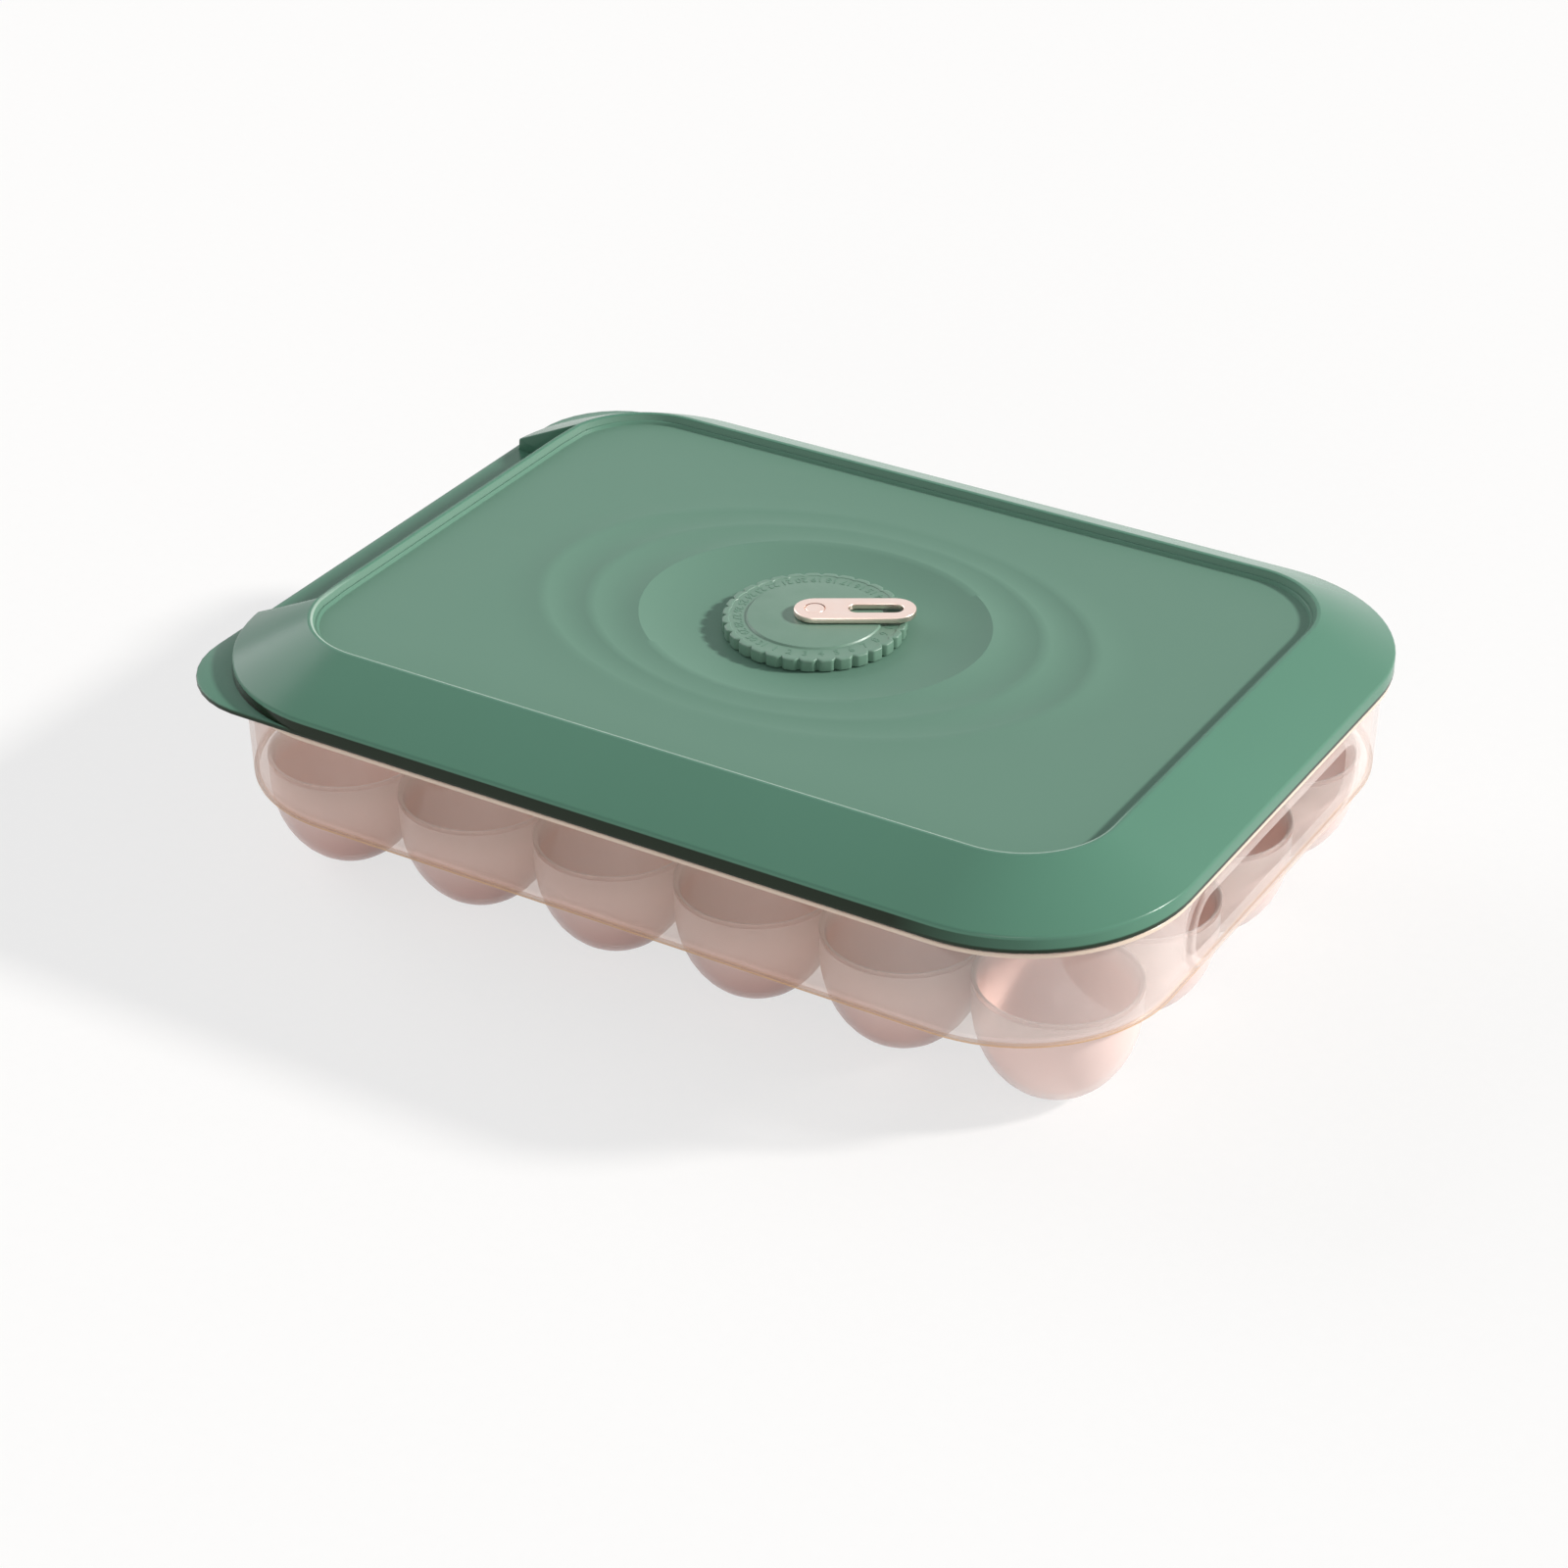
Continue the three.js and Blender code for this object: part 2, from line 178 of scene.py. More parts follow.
DECK_HALF_X = LID_HALF_X - DECK_INSET
DECK_HALF_Y = LID_HALF_Y - DECK_INSET
DECK_CORNER = LID_CORNER - DECK_INSET
BOWL_STEPS = 10
BOWL_TOP = DECK_TOP - 1.5 * TRAY_SHEET
FINGER_HOLE = (56 * MM, 10.5 * MM, 9 * MM)
FINGER_HOLE_MIDDLE = 50.5 * MM
HOLE_EDGE_STEPS = (10, 6, 2)
CUT_OVERRUN = 5 * MM
UPSTAND_GAP = 4 * MM
UPSTAND_FOOT = 0.05 * MM
BORDER_WIDTH = 3 * MM
BORDER_RELIEF = 0.9 * MM
BORDER_FILLET = 1.1 * MM
BORDER_LAP = 0.6 * MM
BORDER_ROOT = 0.8 * MM
BORDER_SINK = 0.1 * MM
BORDER_STEP = 0.5 * MM

# Date dial, pointer, pin and washer
TURNED_SIDES = 48
DAYS = 31
FLUTE_DEPTH = 1.2 * MM
FLUTE_REACH_SHARES = (2.5, 0.2)
FLUTE_SHARPNESS = 12.0
SIDES_PER_FLUTE = 14
DIAL_RADIUS = 28.5 * MM
DISC_RADIUS = 20.8 * MM
DISC_STEP = 0.4 * MM
DISC_FILLET = 0.25 * MM
DIAL_FOOT_FILLET = 0.3 * MM
DIAL_RIM_FILLET = 0.5 * MM
RIM_LAND = 1.9 * MM
RING_TOP = DIAL_HIGH.z - DISC_STEP
GROOVE_DEPTH = 0.2 * MM
GROOVE_FILLET = 0.1 * MM
NUMBER_RADIUS = 23.9 * MM
NUMBER_SINK = 0.02 * MM
NUMBER_HEIGHT = 3.9 * MM
NUMBER_RELIEF = 0.12 * MM
POINTER_WIDTH = 13 * MM
POINTER_REACH = 31.2 * MM
POINTER_ANGLE = radians(31)
SLOT_WIDTH = 5.6 * MM
SLOT_START = 10.2 * MM
SLOT_END = 27.2 * MM
POINTER_BEVEL = 0.3 * MM
ROUND_END_STEPS = 12
POINTER_SHARP = radians(30)
HEAD_SEAT = 3.3 * MM
HEAD_DEPTH = 1.1 * MM
SEAT_OVERRUN = 1 * MM
PIN_RADIUS = 2 * MM
PIN_HEAD = 3 * MM
PIN_HEAD_THICKNESS = 0.8 * MM
PIN_HEAD_FILLET = 0.3 * MM
PIN_TAIL_FILLET = 0.4 * MM
PIN_NECK_FILLET = 0.1 * MM
WASHER_FILLET = 0.2 * MM


class Wire:
    """One output in a node tree. Sums and products of wires and numbers add Math nodes to the tree."""

    def __init__(self, tree, socket):
        self.tree = tree
        self.socket = socket

    def math(self, operation, *values):
        return self.tree.node("ShaderNodeMath", dict(enumerate(values)), operation=operation)

    def __add__(self, other):
        return self.math("ADD", self, other)

    def __sub__(self, other):
        return self.math("SUBTRACT", self, other)

    def __rsub__(self, other):
        return self.math("SUBTRACT", other, self)

    def __mul__(self, other):
        return self.math("MULTIPLY", self, other)

    def __rmul__(self, other):
        return self.math("MULTIPLY", other, self)

    def __truediv__(self, other):
        return self.math("DIVIDE", self, other)

    def __pow__(self, other):
        return self.math("POWER", self, other)


class NodeTree:
    """Adds nodes to one tree, each with the values or wires of its sockets, and its settings."""

    def __init__(self, tree):
        self.tree = tree

    def add(self, kind, values=None, **settings):
        made = self.tree.nodes.new(kind)
        for name, value in settings.items():
            setattr(made, name, value)
        for name, value in (values or {}).items():
            self.feed(made, name, value)
        return made

    def feed(self, made, name, value):
        socket = made.inputs[name]
        if isinstance(value, Wire):
            self.tree.links.new(value.socket, socket)
        else:
            socket.default_value = value

    def node(self, kind, values=None, out=0, **settings):
        return Wire(self, self.add(kind, values, **settings).outputs[out])


class Growth(NodeTree):
    """A geometry nodes tree with named inputs, the last of them the material that its geometry wears."""

    def __init__(self, name, *inputs):
        super().__init__(bpy.data.node_groups.new(name, "GeometryNodeTree"))
        sockets = [*inputs, ("Material", "Material")]
        for label, kind in sockets:
            self.tree.interface.new_socket(label, in_out="INPUT", socket_type="NodeSocket" + kind)
        made = self.add("NodeGroupInput")
        self.given = [Wire(self, made.outputs[label]) for label, _ in sockets]

    def end(self, output, geometry):
        self.tree.interface.new_socket(output, in_out="OUTPUT", socket_type="NodeSocketGeometry")
        real = self.node("GeometryNodeRealizeInstances", {"Geometry": geometry})
        values = {"Geometry": real, "Material": self.given[-1]}
        self.add("NodeGroupOutput", {output: self.node("GeometryNodeSetMaterial", values)})
        return self.tree


class Finish(NodeTree):
    """A material with one Principled shader, and the patterns that feed it."""

    def __init__(self, name, **constants):
        self.material = bpy.data.materials.new(name)
        self.material.use_nodes = True
        super().__init__(self.material.node_tree)
        self.tree.nodes.clear()
        self.shader = self.add("ShaderNodeBsdfPrincipled")
        self.out = self.add("ShaderNodeOutputMaterial")
        self.tree.links.new(self.shader.outputs[0], self.out.inputs["Surface"])
        self.place = self.node("ShaderNodeTexCoord", out="Object")
        for socket, value in constants.items():
            self.set(socket.replace("_", " "), value)

    def set(self, socket, value):
        self.feed(self.shader, socket, value)

    def noise(self, size, detail=2.0):
        """Noise from 0 to 1 whose lumps are about as wide as size."""
        values = {"Vector": self.place, "Scale": 1 / size, "Detail": detail}
        return self.node("ShaderNodeTexNoise", values)

    def between(self, share, low, high):
        values = {"Value": share, "To Min": low, "To Max": high}
        return self.node("ShaderNodeMapRange", values)

    def step(self, value, none, full):
        """A share that goes from 0 where value is none to 1 where it is full."""
        values = {"Value": value, "From Min": none, "From Max": full}
        return self.node("ShaderNodeMapRange", values, clamp=True)

    def blend(self, share, first, second):
        made = self.add("ShaderNodeMix", {0: share, 6: first, 7: second}, data_type="RGBA")
        return Wire(self, made.outputs[2])

    def bump(self, height, depth, strength, normal=None):
        values = {"Height": height, "Distance": depth, "Strength": strength}
        if normal is not None:
            values["Normal"] = normal
        return self.node("ShaderNodeBump", values)

    def lid_place(self):
        """Distance inside the lid's edge, distances towards the right and the front, and height."""
        split = self.add("ShaderNodeSeparateXYZ", {0: self.place})
        across, along, up = (Wire(self, output) for output in split.outputs)
        right = across - MIDDLE_X
        forward = along * -1.0
        past = [
            place.math("MAXIMUM", place.math("ABSOLUTE", place) - (half - LID_CORNER), 0.0)
            for place, half in ((right, LID_HALF_X), (along, LID_HALF_Y))
        ]
        return LID_CORNER - (past[0] * past[0] + past[1] * past[1]) ** 0.5, right, forward, up

    def attribute(self, name):
        return self.node("ShaderNodeAttribute", out="Fac", attribute_name=name)


SCREEN_GAMMA = 2.2


def srgb(red, green, blue):
    """A colour written as the 0 to 255 values of a screen, made linear for a shader."""
    return tuple((value / 255) ** SCREEN_GAMMA for value in (red, green, blue)) + (1,)


LID_GREEN = srgb(84, 128, 109)
SHADE_GREEN = srgb(81, 123, 104)
PANEL_GREEN = srgb(97, 131, 115)
# Painted shade: the dark green laid on the lid's front flange and its lifting lip
PAINTED_SHADE_GREEN = srgb(28, 41, 27)
# Painted highlight along the front of the lid's crest
CREST_HIGHLIGHT_GREEN = srgb(176, 196, 184)
DIAL_GREEN = srgb(106, 137, 121)
DIAL_SHADE = srgb(95, 128, 111)
CUP_WHITE = srgb(246, 230, 226)
CUP_LILAC = srgb(238, 220, 217)
CUP_ROSE = srgb(248, 190, 172)
# Painted light: the cups' insides go paler at the lit right end
CUP_PALE = srgb(250, 216, 207)
# Painted shade on the cups' lower parts
CUP_SHADE = srgb(212, 168, 158)
DECK_MILK = srgb(248, 234, 228)
WALL_PINK = srgb(250, 206, 190)
WALL_TAN = srgb(250, 218, 202)
# Painted light: the wall goes paler at the lit right end
WALL_PALE = srgb(246, 232, 228)
# Painted reflection: a warm gold along the tray's foot, as if a wooden floor shone through its edge
FOOT_WARM_REFLECTION = srgb(214, 174, 134)
RIM_CREAM = srgb(236, 218, 200)
PLATE_PALE = srgb(238, 220, 212)
PLATE_ROSE = srgb(236, 208, 196)
NUMBER_GREEN = srgb(88, 124, 106)
NUMBER_SHADE = srgb(94, 130, 112)
STEEL = srgb(172, 174, 176)
STEEL_SHADE = srgb(150, 152, 155)

# Places between which a painted highlight lies along the front of the lid's crest and painted shade on its
# flange, and how much of each; the flange's painted shade fades at the lit front-right corner
CREST_HIGHLIGHT_HEIGHTS = (LID_TOP - 0.7 * MM, LID_TOP - 0.3 * MM)
CREST_HIGHLIGHT_INSETS = (SHOULDER_WIDTH + 0.7 * MM, SHOULDER_WIDTH + 0.9 * MM)
CREST_HIGHLIGHT_FRONT = (50 * MM, 85 * MM)
CREST_HIGHLIGHT_SHARE = 0.8
FLANGE_SHADE_HEIGHTS = (FLANGE_TOP - 0.9 * MM, FLANGE_TOP - 1.3 * MM)
FLANGE_SHADE_INSETS = (1.2 * MM, 0.8 * MM)
FLANGE_SHADE_OUTSETS = (-0.6 * MM, -0.2 * MM)
FLANGE_SHADE_FRONT = (90 * MM, 114 * MM)
LIT_FLANGE_CORNER = (95 * MM, 138 * MM)
LIT_FLANGE_SHARE = 0.8

# Places between which the tray's parts change colour, and how dense each of them is seen straight and edge
# on. Painted shade darkens the cups low down, painted light pales the cups and wall at the right end, and the
# foot's gold is a painted reflection.
WALL_INSETS = (6.6 * MM, 6.1 * MM)
FOOT_HEIGHTS = (36.1 * MM, 35.7 * MM)
RIM_HEIGHTS = (RIM_TOP - RIM_THICKNESS - 0.3 * MM, RIM_TOP - RIM_THICKNESS)
SHADED_CUP_HEIGHTS = (28 * MM, 8 * MM)
LIT_END_PLACES = (70 * MM, 125 * MM)
THIN_ALPHAS = (0.09, 0.45)
THICK_ALPHAS = (0.62, 0.95)
INSIDE_ALPHA = 0.1
LIT_END_ALPHA = 0.14
EDGE_ALPHA = 0.5
FACING_BLEND = 0.35

# Gloss of the lid and the tray, and their noise: the width of its lumps with its detail, and what it feeds
TRAY_IOR = 1.49
LID_SPECULAR = 0.2
LID_CLOUDS = (60 * MM, 2)
LID_SMUDGES = (18 * MM, 3)
LID_WAVES = (35 * MM, 1)
PANEL_GRAIN = (0.5 * MM, 2)
TRAY_CLOUDS = (40 * MM, 2)
TRAY_SMUDGES = (12 * MM, 3)
TRAY_WAVES = (28 * MM, 1)
LID_ROUGHNESS = (0.2, 0.28)
PANEL_MORE_ROUGH = 0.3
TRAY_ROUGHNESS = (0.16, 0.26)
GRAIN_DEPTH = 0.03 * MM
LID_WAVE_DEPTH = 0.12 * MM
LID_WAVE_STRENGTH = 0.6
TRAY_WAVE_DEPTH = 0.1 * MM
BUMP_STRENGTH = 0.5

# Plain finishes: width and detail of the clouds, their two colours, roughness from least to most, width and
# detail of streaks in it, width and depth of fine bumps, and what the shader keeps throughout
METAL = {"Metallic": 1.0}
PLAIN_FINISHES = {
    "green_satin": ((9 * MM, 3), (DIAL_GREEN, DIAL_SHADE), (0.36, 0.46), None, (0.35 * MM, 0.02 * MM), {}),
    "green_number": ((4 * MM, 2), (NUMBER_GREEN, NUMBER_SHADE), (0.4, 0.5), None, None, {}),
    "pale_rose_plating": ((5 * MM, 2), (PLATE_PALE, PLATE_ROSE), (0.26, 0.36), (0.6 * MM, 3),
                          (0.25 * MM, 0.01 * MM), METAL),
    "plain_spring_steel": ((2 * MM, 3), (STEEL, STEEL_SHADE), (0.28, 0.42), None, None, METAL),
}


def lid_finish():
    """Gloss on the shoulder, painted shade on the front flange and the lip, a painted highlight along the
    crest at the front, and a fine matt grain on the sunken panel.
    """
    finish = Finish("green_gloss_and_matt", Specular_IOR_Level=LID_SPECULAR)
    inset, right, forward, up = finish.lid_place()
    panel = finish.attribute("panel")
    gloss = finish.blend(finish.noise(*LID_CLOUDS), LID_GREEN, SHADE_GREEN)
    colour = finish.blend(panel, gloss, PANEL_GREEN)
    # Painted highlight: a pale line along the crest's inner edge, at the front only
    crest = finish.step(up, *CREST_HIGHLIGHT_HEIGHTS)
    crest = crest * finish.step(inset, *CREST_HIGHLIGHT_INSETS)
    crest = crest * finish.step(forward, *CREST_HIGHLIGHT_FRONT)
    colour = finish.blend(crest * CREST_HIGHLIGHT_SHARE, colour, CREST_HIGHLIGHT_GREEN)
    # Painted shade on the front flange, faded where the flange turns the lit front-right corner
    flange = finish.step(up, *FLANGE_SHADE_HEIGHTS)
    flange = flange * finish.step(inset, *FLANGE_SHADE_INSETS) * finish.step(inset, *FLANGE_SHADE_OUTSETS)
    flange = flange * finish.step(forward, *FLANGE_SHADE_FRONT)
    flange = flange * (1 - LIT_FLANGE_SHARE * finish.step(right, *LIT_FLANGE_CORNER))
    # The lip's painted shade comes in as the attribute deep and joins the flange's painted shade
    deep = flange.math("MAXIMUM", flange, finish.attribute("deep"))
    finish.set("Base Color", finish.blend(deep, colour, PAINTED_SHADE_GREEN))
    smooth = finish.between(finish.noise(*LID_SMUDGES), *LID_ROUGHNESS)
    finish.set("Roughness", smooth + panel * PANEL_MORE_ROUGH)
    grained = finish.bump(finish.noise(*PANEL_GRAIN) * panel, GRAIN_DEPTH, BUMP_STRENGTH)
    wave = finish.noise(*LID_WAVES) * (1 - panel)
    finish.set("Normal", finish.bump(wave, LID_WAVE_DEPTH, LID_WAVE_STRENGTH, grained))
    return finish.material


def tray_finish():
    """Milky clear plastic: white bowls and deck behind a thin wall with a denser rim and foot. Painted shade
    darkens the cups low down, painted light pales the cups and wall at the lit right end, and the foot's gold
    is a painted reflection.
    """
    finish = Finish("milky_clear_plastic", IOR=TRAY_IOR)
    inset, right, _, up = finish.lid_place()
    inside = finish.attribute("inside")
    deck = finish.attribute("deck")
    wall = finish.step(inset, *WALL_INSETS)
    foot = wall * finish.step(up, *FOOT_HEIGHTS)
    rim = wall * finish.step(up, *RIM_HEIGHTS)
    cloud = finish.noise(*TRAY_CLOUDS)
    # Painted light: the cups' insides and the wall go paler towards the right end, where the key lamp shines
    # in
    lit_end = finish.step(right, *LIT_END_PLACES)
    colour = finish.blend(cloud, CUP_WHITE, CUP_LILAC)
    # Painted shade: the cups go darker towards their bottoms, except at the lit right end
    colour = finish.blend(finish.step(up, *SHADED_CUP_HEIGHTS) * (1 - lit_end), colour, CUP_SHADE)
    colour = finish.blend(inside, colour, finish.blend(lit_end, CUP_ROSE, CUP_PALE))
    colour = finish.blend(deck, colour, DECK_MILK)
    clear = finish.blend(lit_end, finish.blend(cloud, WALL_PINK, WALL_TAN), WALL_PALE)
    colour = finish.blend(wall, colour, clear)
    # Painted reflection: the foot's warm gold; its extra density below is the sheet seen edge on
    colour = finish.blend(foot, colour, FOOT_WARM_REFLECTION)
    finish.set("Base Color", finish.blend(rim, colour, RIM_CREAM))
    finish.set("Roughness", finish.between(finish.noise(*TRAY_SMUDGES), *TRAY_ROUGHNESS))
    facing = finish.node("ShaderNodeLayerWeight", {"Blend": FACING_BLEND}, out="Facing")
    thin = finish.between(facing, *THIN_ALPHAS)
    thick = finish.between(facing, *THICK_ALPHAS) + inside * INSIDE_ALPHA - lit_end * LIT_END_ALPHA
    dense = thick + (thin - thick) * wall.math("MAXIMUM", wall, deck) + (foot + rim) * EDGE_ALPHA
    finish.set("Alpha", dense.math("MINIMUM", dense, 1.0))
    finish.set("Normal", finish.bump(finish.noise(*TRAY_WAVES), TRAY_WAVE_DEPTH, BUMP_STRENGTH))
    return finish.material


def plain_finish(name):
    """Two colours that mix in clouds, a roughness that goes with the clouds or streaks, and fine bumps."""
    clouds, colours, roughness, streaks, grain, constants = PLAIN_FINISHES[name]
    finish = Finish(name, **constants)
    cloud = finish.noise(*clouds)
    finish.set("Base Color", finish.blend(cloud, *colours))
    finish.set("Roughness", finish.between(finish.noise(*streaks) if streaks else cloud, *roughness))
    if grain:
        width, depth = grain
        finish.set("Normal", finish.bump(finish.noise(width), depth, BUMP_STRENGTH))
    return finish.material


def filleted(corners, steps=4):
    """Points along a line of (across, up, radius) corners, with an arc at each corner that has a radius."""
    points = [Vector(corners[0][:2])]
    for before, corner, after in zip(corners, corners[1:], corners[2:]):
        place = Vector(corner[:2])
        back = (Vector(before[:2]) - place).normalized()
        onward = (Vector(after[:2]) - place).normalized()
        radius = corner[2]
        if radius == 0:
            points.append(place)
            continue
        half = back.angle(onward) / 2
        centre = place + (back + onward).normalized() * radius / sin(half)
        start = place + back * radius / tan(half) - centre
        end = place + onward * radius / tan(half) - centre
        turn = pi - 2 * half
        for step in range(steps + 1):
            share = step / steps
            points.append(centre + (start * sin((1 - share) * turn) + end * sin(share * turn)) / sin(turn))
    points.append(Vector(corners[-1][:2]))
    return points


def rounded_edge(half_across, half_up, radius, corner_steps, across_steps, up_steps):
    """(point, outward direction) pairs round a rectangle with round corners, anticlockwise."""
    edge = []
    quarters = ((1, 1, across_steps), (-1, 1, up_steps), (-1, -1, across_steps), (1, -1, up_steps))
    centres = [Vector((x * (half_across - radius), y * (half_up - radius))) for x, y, _ in quarters]
    for quarter, (_, _, steps) in enumerate(quarters):
        centre = centres[quarter]
        for step in range(corner_steps + 1):
            angle = (quarter + step / corner_steps) * pi / 2
            outward = Vector((cos(angle), sin(angle)))
            edge.append((centre + outward * radius, outward))
        start = centre + outward * radius
        end = centres[(quarter + 1) % 4] + outward * radius
        for step in range(1, steps):
            edge.append((start.lerp(end, step / steps), outward))
    return edge


def raw_mesh(name, points, faces, attributes=None, edges=()):
    mesh = bpy.data.meshes.new(name)
    mesh.from_pydata(points, edges, faces)
    for key, values in (attributes or {}).items():
        mesh.attributes.new(key, "FLOAT", "POINT").data.foreach_set("value", values)
    return mesh


def new_mesh(name, points, faces, attributes=None):
    """A mesh with doubled points merged and faces pointing outwards."""
    mesh = raw_mesh(name, points, faces, attributes)
    tidy_mesh(mesh)
    return mesh


def tidy_mesh(mesh):
    work = bmesh.new()
    work.from_mesh(mesh)
    bmesh.ops.remove_doubles(work, verts=work.verts, dist=TIDY_REACH)
    bmesh.ops.dissolve_degenerate(work, dist=TIDY_REACH / 2, edges=work.edges)
    bmesh.ops.recalc_face_normals(work, faces=work.faces)
    work.to_mesh(mesh)
    work.free()


def placed(name, data):
    """A new object in the scene."""
    made = bpy.data.objects.new(name, data)
    bpy.context.scene.collection.objects.link(made)
    return made


def new_piece(name, mesh, material=None, sharp=SHARP):
    mesh.shade_smooth()
    mesh.set_sharp_from_angle(angle=sharp)
    piece = placed(name, mesh)
    if material:
        mesh.materials.clear()
        mesh.materials.append(material)
    return piece


def ring_skin(rings, closed):
    """Points and faces of a skin over rings with equal counts. A closed one joins the last to the first."""
    count = len(rings[0])
    points = [point for ring in rings for point in ring]
    faces = []
    for level in range(len(rings) if closed else len(rings) - 1):
        low = level * count
        high = (level + 1) % len(rings) * count
        for side in range(count):
            after = (side + 1) % count
            faces.append((low + side, low + after, high + after, high + side))
    return points, faces


def side_place(along, inset):
    """(point, outward direction) on the lid's left side, some distance inside its edge."""
    radius = LID_CORNER - inset
    over = max(abs(along) - LID_HALF_Y + LID_CORNER, 0)
    across = sqrt(radius ** 2 - over ** 2)
    outward = Vector((-across, over if along > 0 else -over)) / radius
    return Vector((LID_CORNER - LID_HALF_X - across, along)), outward


class Column:
    """A column of points on the lid: its place on the edge, and the shares of the grip's cut out and inside.

    A column with a slant is on the left side, where it moves along Y by that share of its way inwards.
    """

    def __init__(self, point, outward, slant=None, outer_cut=0.0, inner_cut=0.0):
        self.point = point
        self.outward = outward
        self.slant = slant
        self.outer_cut = outer_cut
        self.inner_cut = inner_cut

    def at(self, inset):
        if self.slant is None:
            return self.point - self.outward * inset, self.outward
        return side_place(self.point.y + self.slant * inset, inset)


def lid_columns():
    """Columns round the lid, anticlockwise, with close ones at both ends of the grip."""
    round_part = [Column(*pair) for pair in rounded_edge(LID_HALF_X, LID_HALF_Y, LID_CORNER, *LID_EDGE_STEPS)]
    end = GRIP_HALF_LENGTH
    first = end + LID_SHEET + GRIP_EASE
    corner = LID_HALF_Y - LID_CORNER * (1 - GRIP_LEAN)
    half = [(first + (corner - first) * share, -GRIP_LEAN * share, 0, 0) for share in GRIP_CORNER_SHARES]
    half += [
        (end + LID_SHEET, 0, 0, 0),
        (end + LID_SHEET, 0, 0, 1),
        (end + GRIP_EDGE, 0, 0, 1),
        (end + GRIP_TURN, 0, GRIP_TURN_CUTS[0], 1),
        (end, 0, GRIP_TURN_CUTS[1], 1),
        (end, 0, 1, 1),
    ]
    half += [(end * share, 0, 1, 1) for share in GRIP_COLUMN_SHARES]
    other_half = [(-along, -slant, out, inner) for along, slant, out, inner in reversed(half)]
    rows = half + [(0, 0, 1, 1)] + other_half
    left = [Column(*side_place(along, 0), slant, out, inner) for along, slant, out, inner in rows]
    kept = [column.point.x > 0 or abs(column.point.y) > corner - GRIP_SEAM for column in round_part]
    start = kept.index(False)
    after = [column for column, keep in zip(round_part[start:], kept[start:]) if keep]
    return round_part[:start] + left + after


LID_EDGE = lid_columns()
OUTER_CUTS = [column.outer_cut for column in LID_EDGE]
INNER_CUTS = [column.inner_cut for column in LID_EDGE]


def lid_ring(inset, height, grow=None, cut=None, shares=None):
    """A ring parallel to the lid's outline. grow moves points out. cut is a point's place at a share of 1."""
    ring = []
    for number, column in enumerate(LID_EDGE):
        section = Vector((inset, height))
        if cut is not None:
            section = section.lerp(cut, shares[number])
        place, outward = column.at(section.x)
        if grow:
            place = place + outward * grow[number]
        ring.append(Vector((place.x + MIDDLE_X, place.y, section.y)))
    return ring


def edge_distance(start, direction, half_across, half_up, radius):
    """How far a point can move in a direction until it meets a rounded rectangle round the middle."""
    near, far = 0.0, LID_HALF_X
    for _ in range(HALVINGS):
        middle = (near + far) / 2
        place = start + direction * middle
        across = max(abs(place.x) - half_across + radius, 0)
        up = max(abs(place.y) - half_up + radius, 0)
        near, far = (middle, far) if hypot(across, up) < radius else (near, middle)
    return near


def lip_reaches():
    """How far the lifting lip stands out from the lid's edge, at each point of the edge."""
    half_across = (LID_HALF_X * 2 + LIP_REACH) / 2
    shift = Vector((LIP_REACH / 2, 0))
    reaches = []
    for column in LID_EDGE:
        reach = edge_distance(column.point + shift, column.outward, half_across, LID_HALF_Y, LIP_CORNER)
        reaches.append(reach if column.point.x < 0 and reach > LEAST_LIP else 0.0)
    return reaches


def ellipse_ring(half_x, half_y, height, wave=0.0):
    """A ring on an ellipse round the dial. wave lifts its left and right sides."""
    ring = []
    reach_x = LID_HALF_X - SHOULDER_WIDTH
    reach_y = LID_HALF_Y - SHOULDER_WIDTH
    for point in lid_ring(PANEL_INSET, 0):
        angle = atan2(point.y / reach_y, (point.x - MIDDLE_X) / reach_x)
        share = FAINTEST_RIPPLE_SHARE + (1 - FAINTEST_RIPPLE_SHARE) * cos(angle) ** 2
        ring.append(Vector((MIDDLE_X + half_x * cos(angle), half_y * sin(angle), height + wave * share)))
    return ring


def panel_rings():
    """Rings from outside the ripples to the pin's hole: hollows between sharp crests, then the dish."""
    rings = []
    wide, deep = RIPPLE_CRESTS[-1]
    for step in range(SKIRT_STEPS, 0, -1):
        share = step / SKIRT_STEPS
        skirt = RIPPLE_SKIRT * share
        rings.append(ellipse_ring(wide + skirt, deep + skirt, PANEL_TOP, RIPPLE_HEIGHT * (1 - share) ** 2))
    crests = RIPPLE_CRESTS[::-1]
    for (wide, deep), (next_wide, next_deep) in zip(crests, crests[1:]):
        for step in range(RIPPLE_STEPS):
            share = step / RIPPLE_STEPS
            wave = RIPPLE_HEIGHT * (2 * share - 1) ** 2
            half_x = wide + (next_wide - wide) * share
            rings.append(ellipse_ring(half_x, deep + (next_deep - deep) * share, PANEL_TOP, wave))
    wide, deep = RIPPLE_CRESTS[0]
    for step in range(DISH_STEPS + 1):
        share = step / DISH_STEPS
        fall = DISH_DEPTH * (1 - (1 - share) ** 2)
        half_x = wide + (DISH_FLOOR[0] - wide) * share
        half_y = deep + (DISH_FLOOR[1] - deep) * share
        rings.append(ellipse_ring(half_x, half_y, PANEL_TOP - fall, RIPPLE_HEIGHT * (1 - share) ** 2))
    rings.append(ellipse_ring(PIN_HOLE, PIN_HOLE, PANEL_TOP - DISH_DEPTH))
    return rings


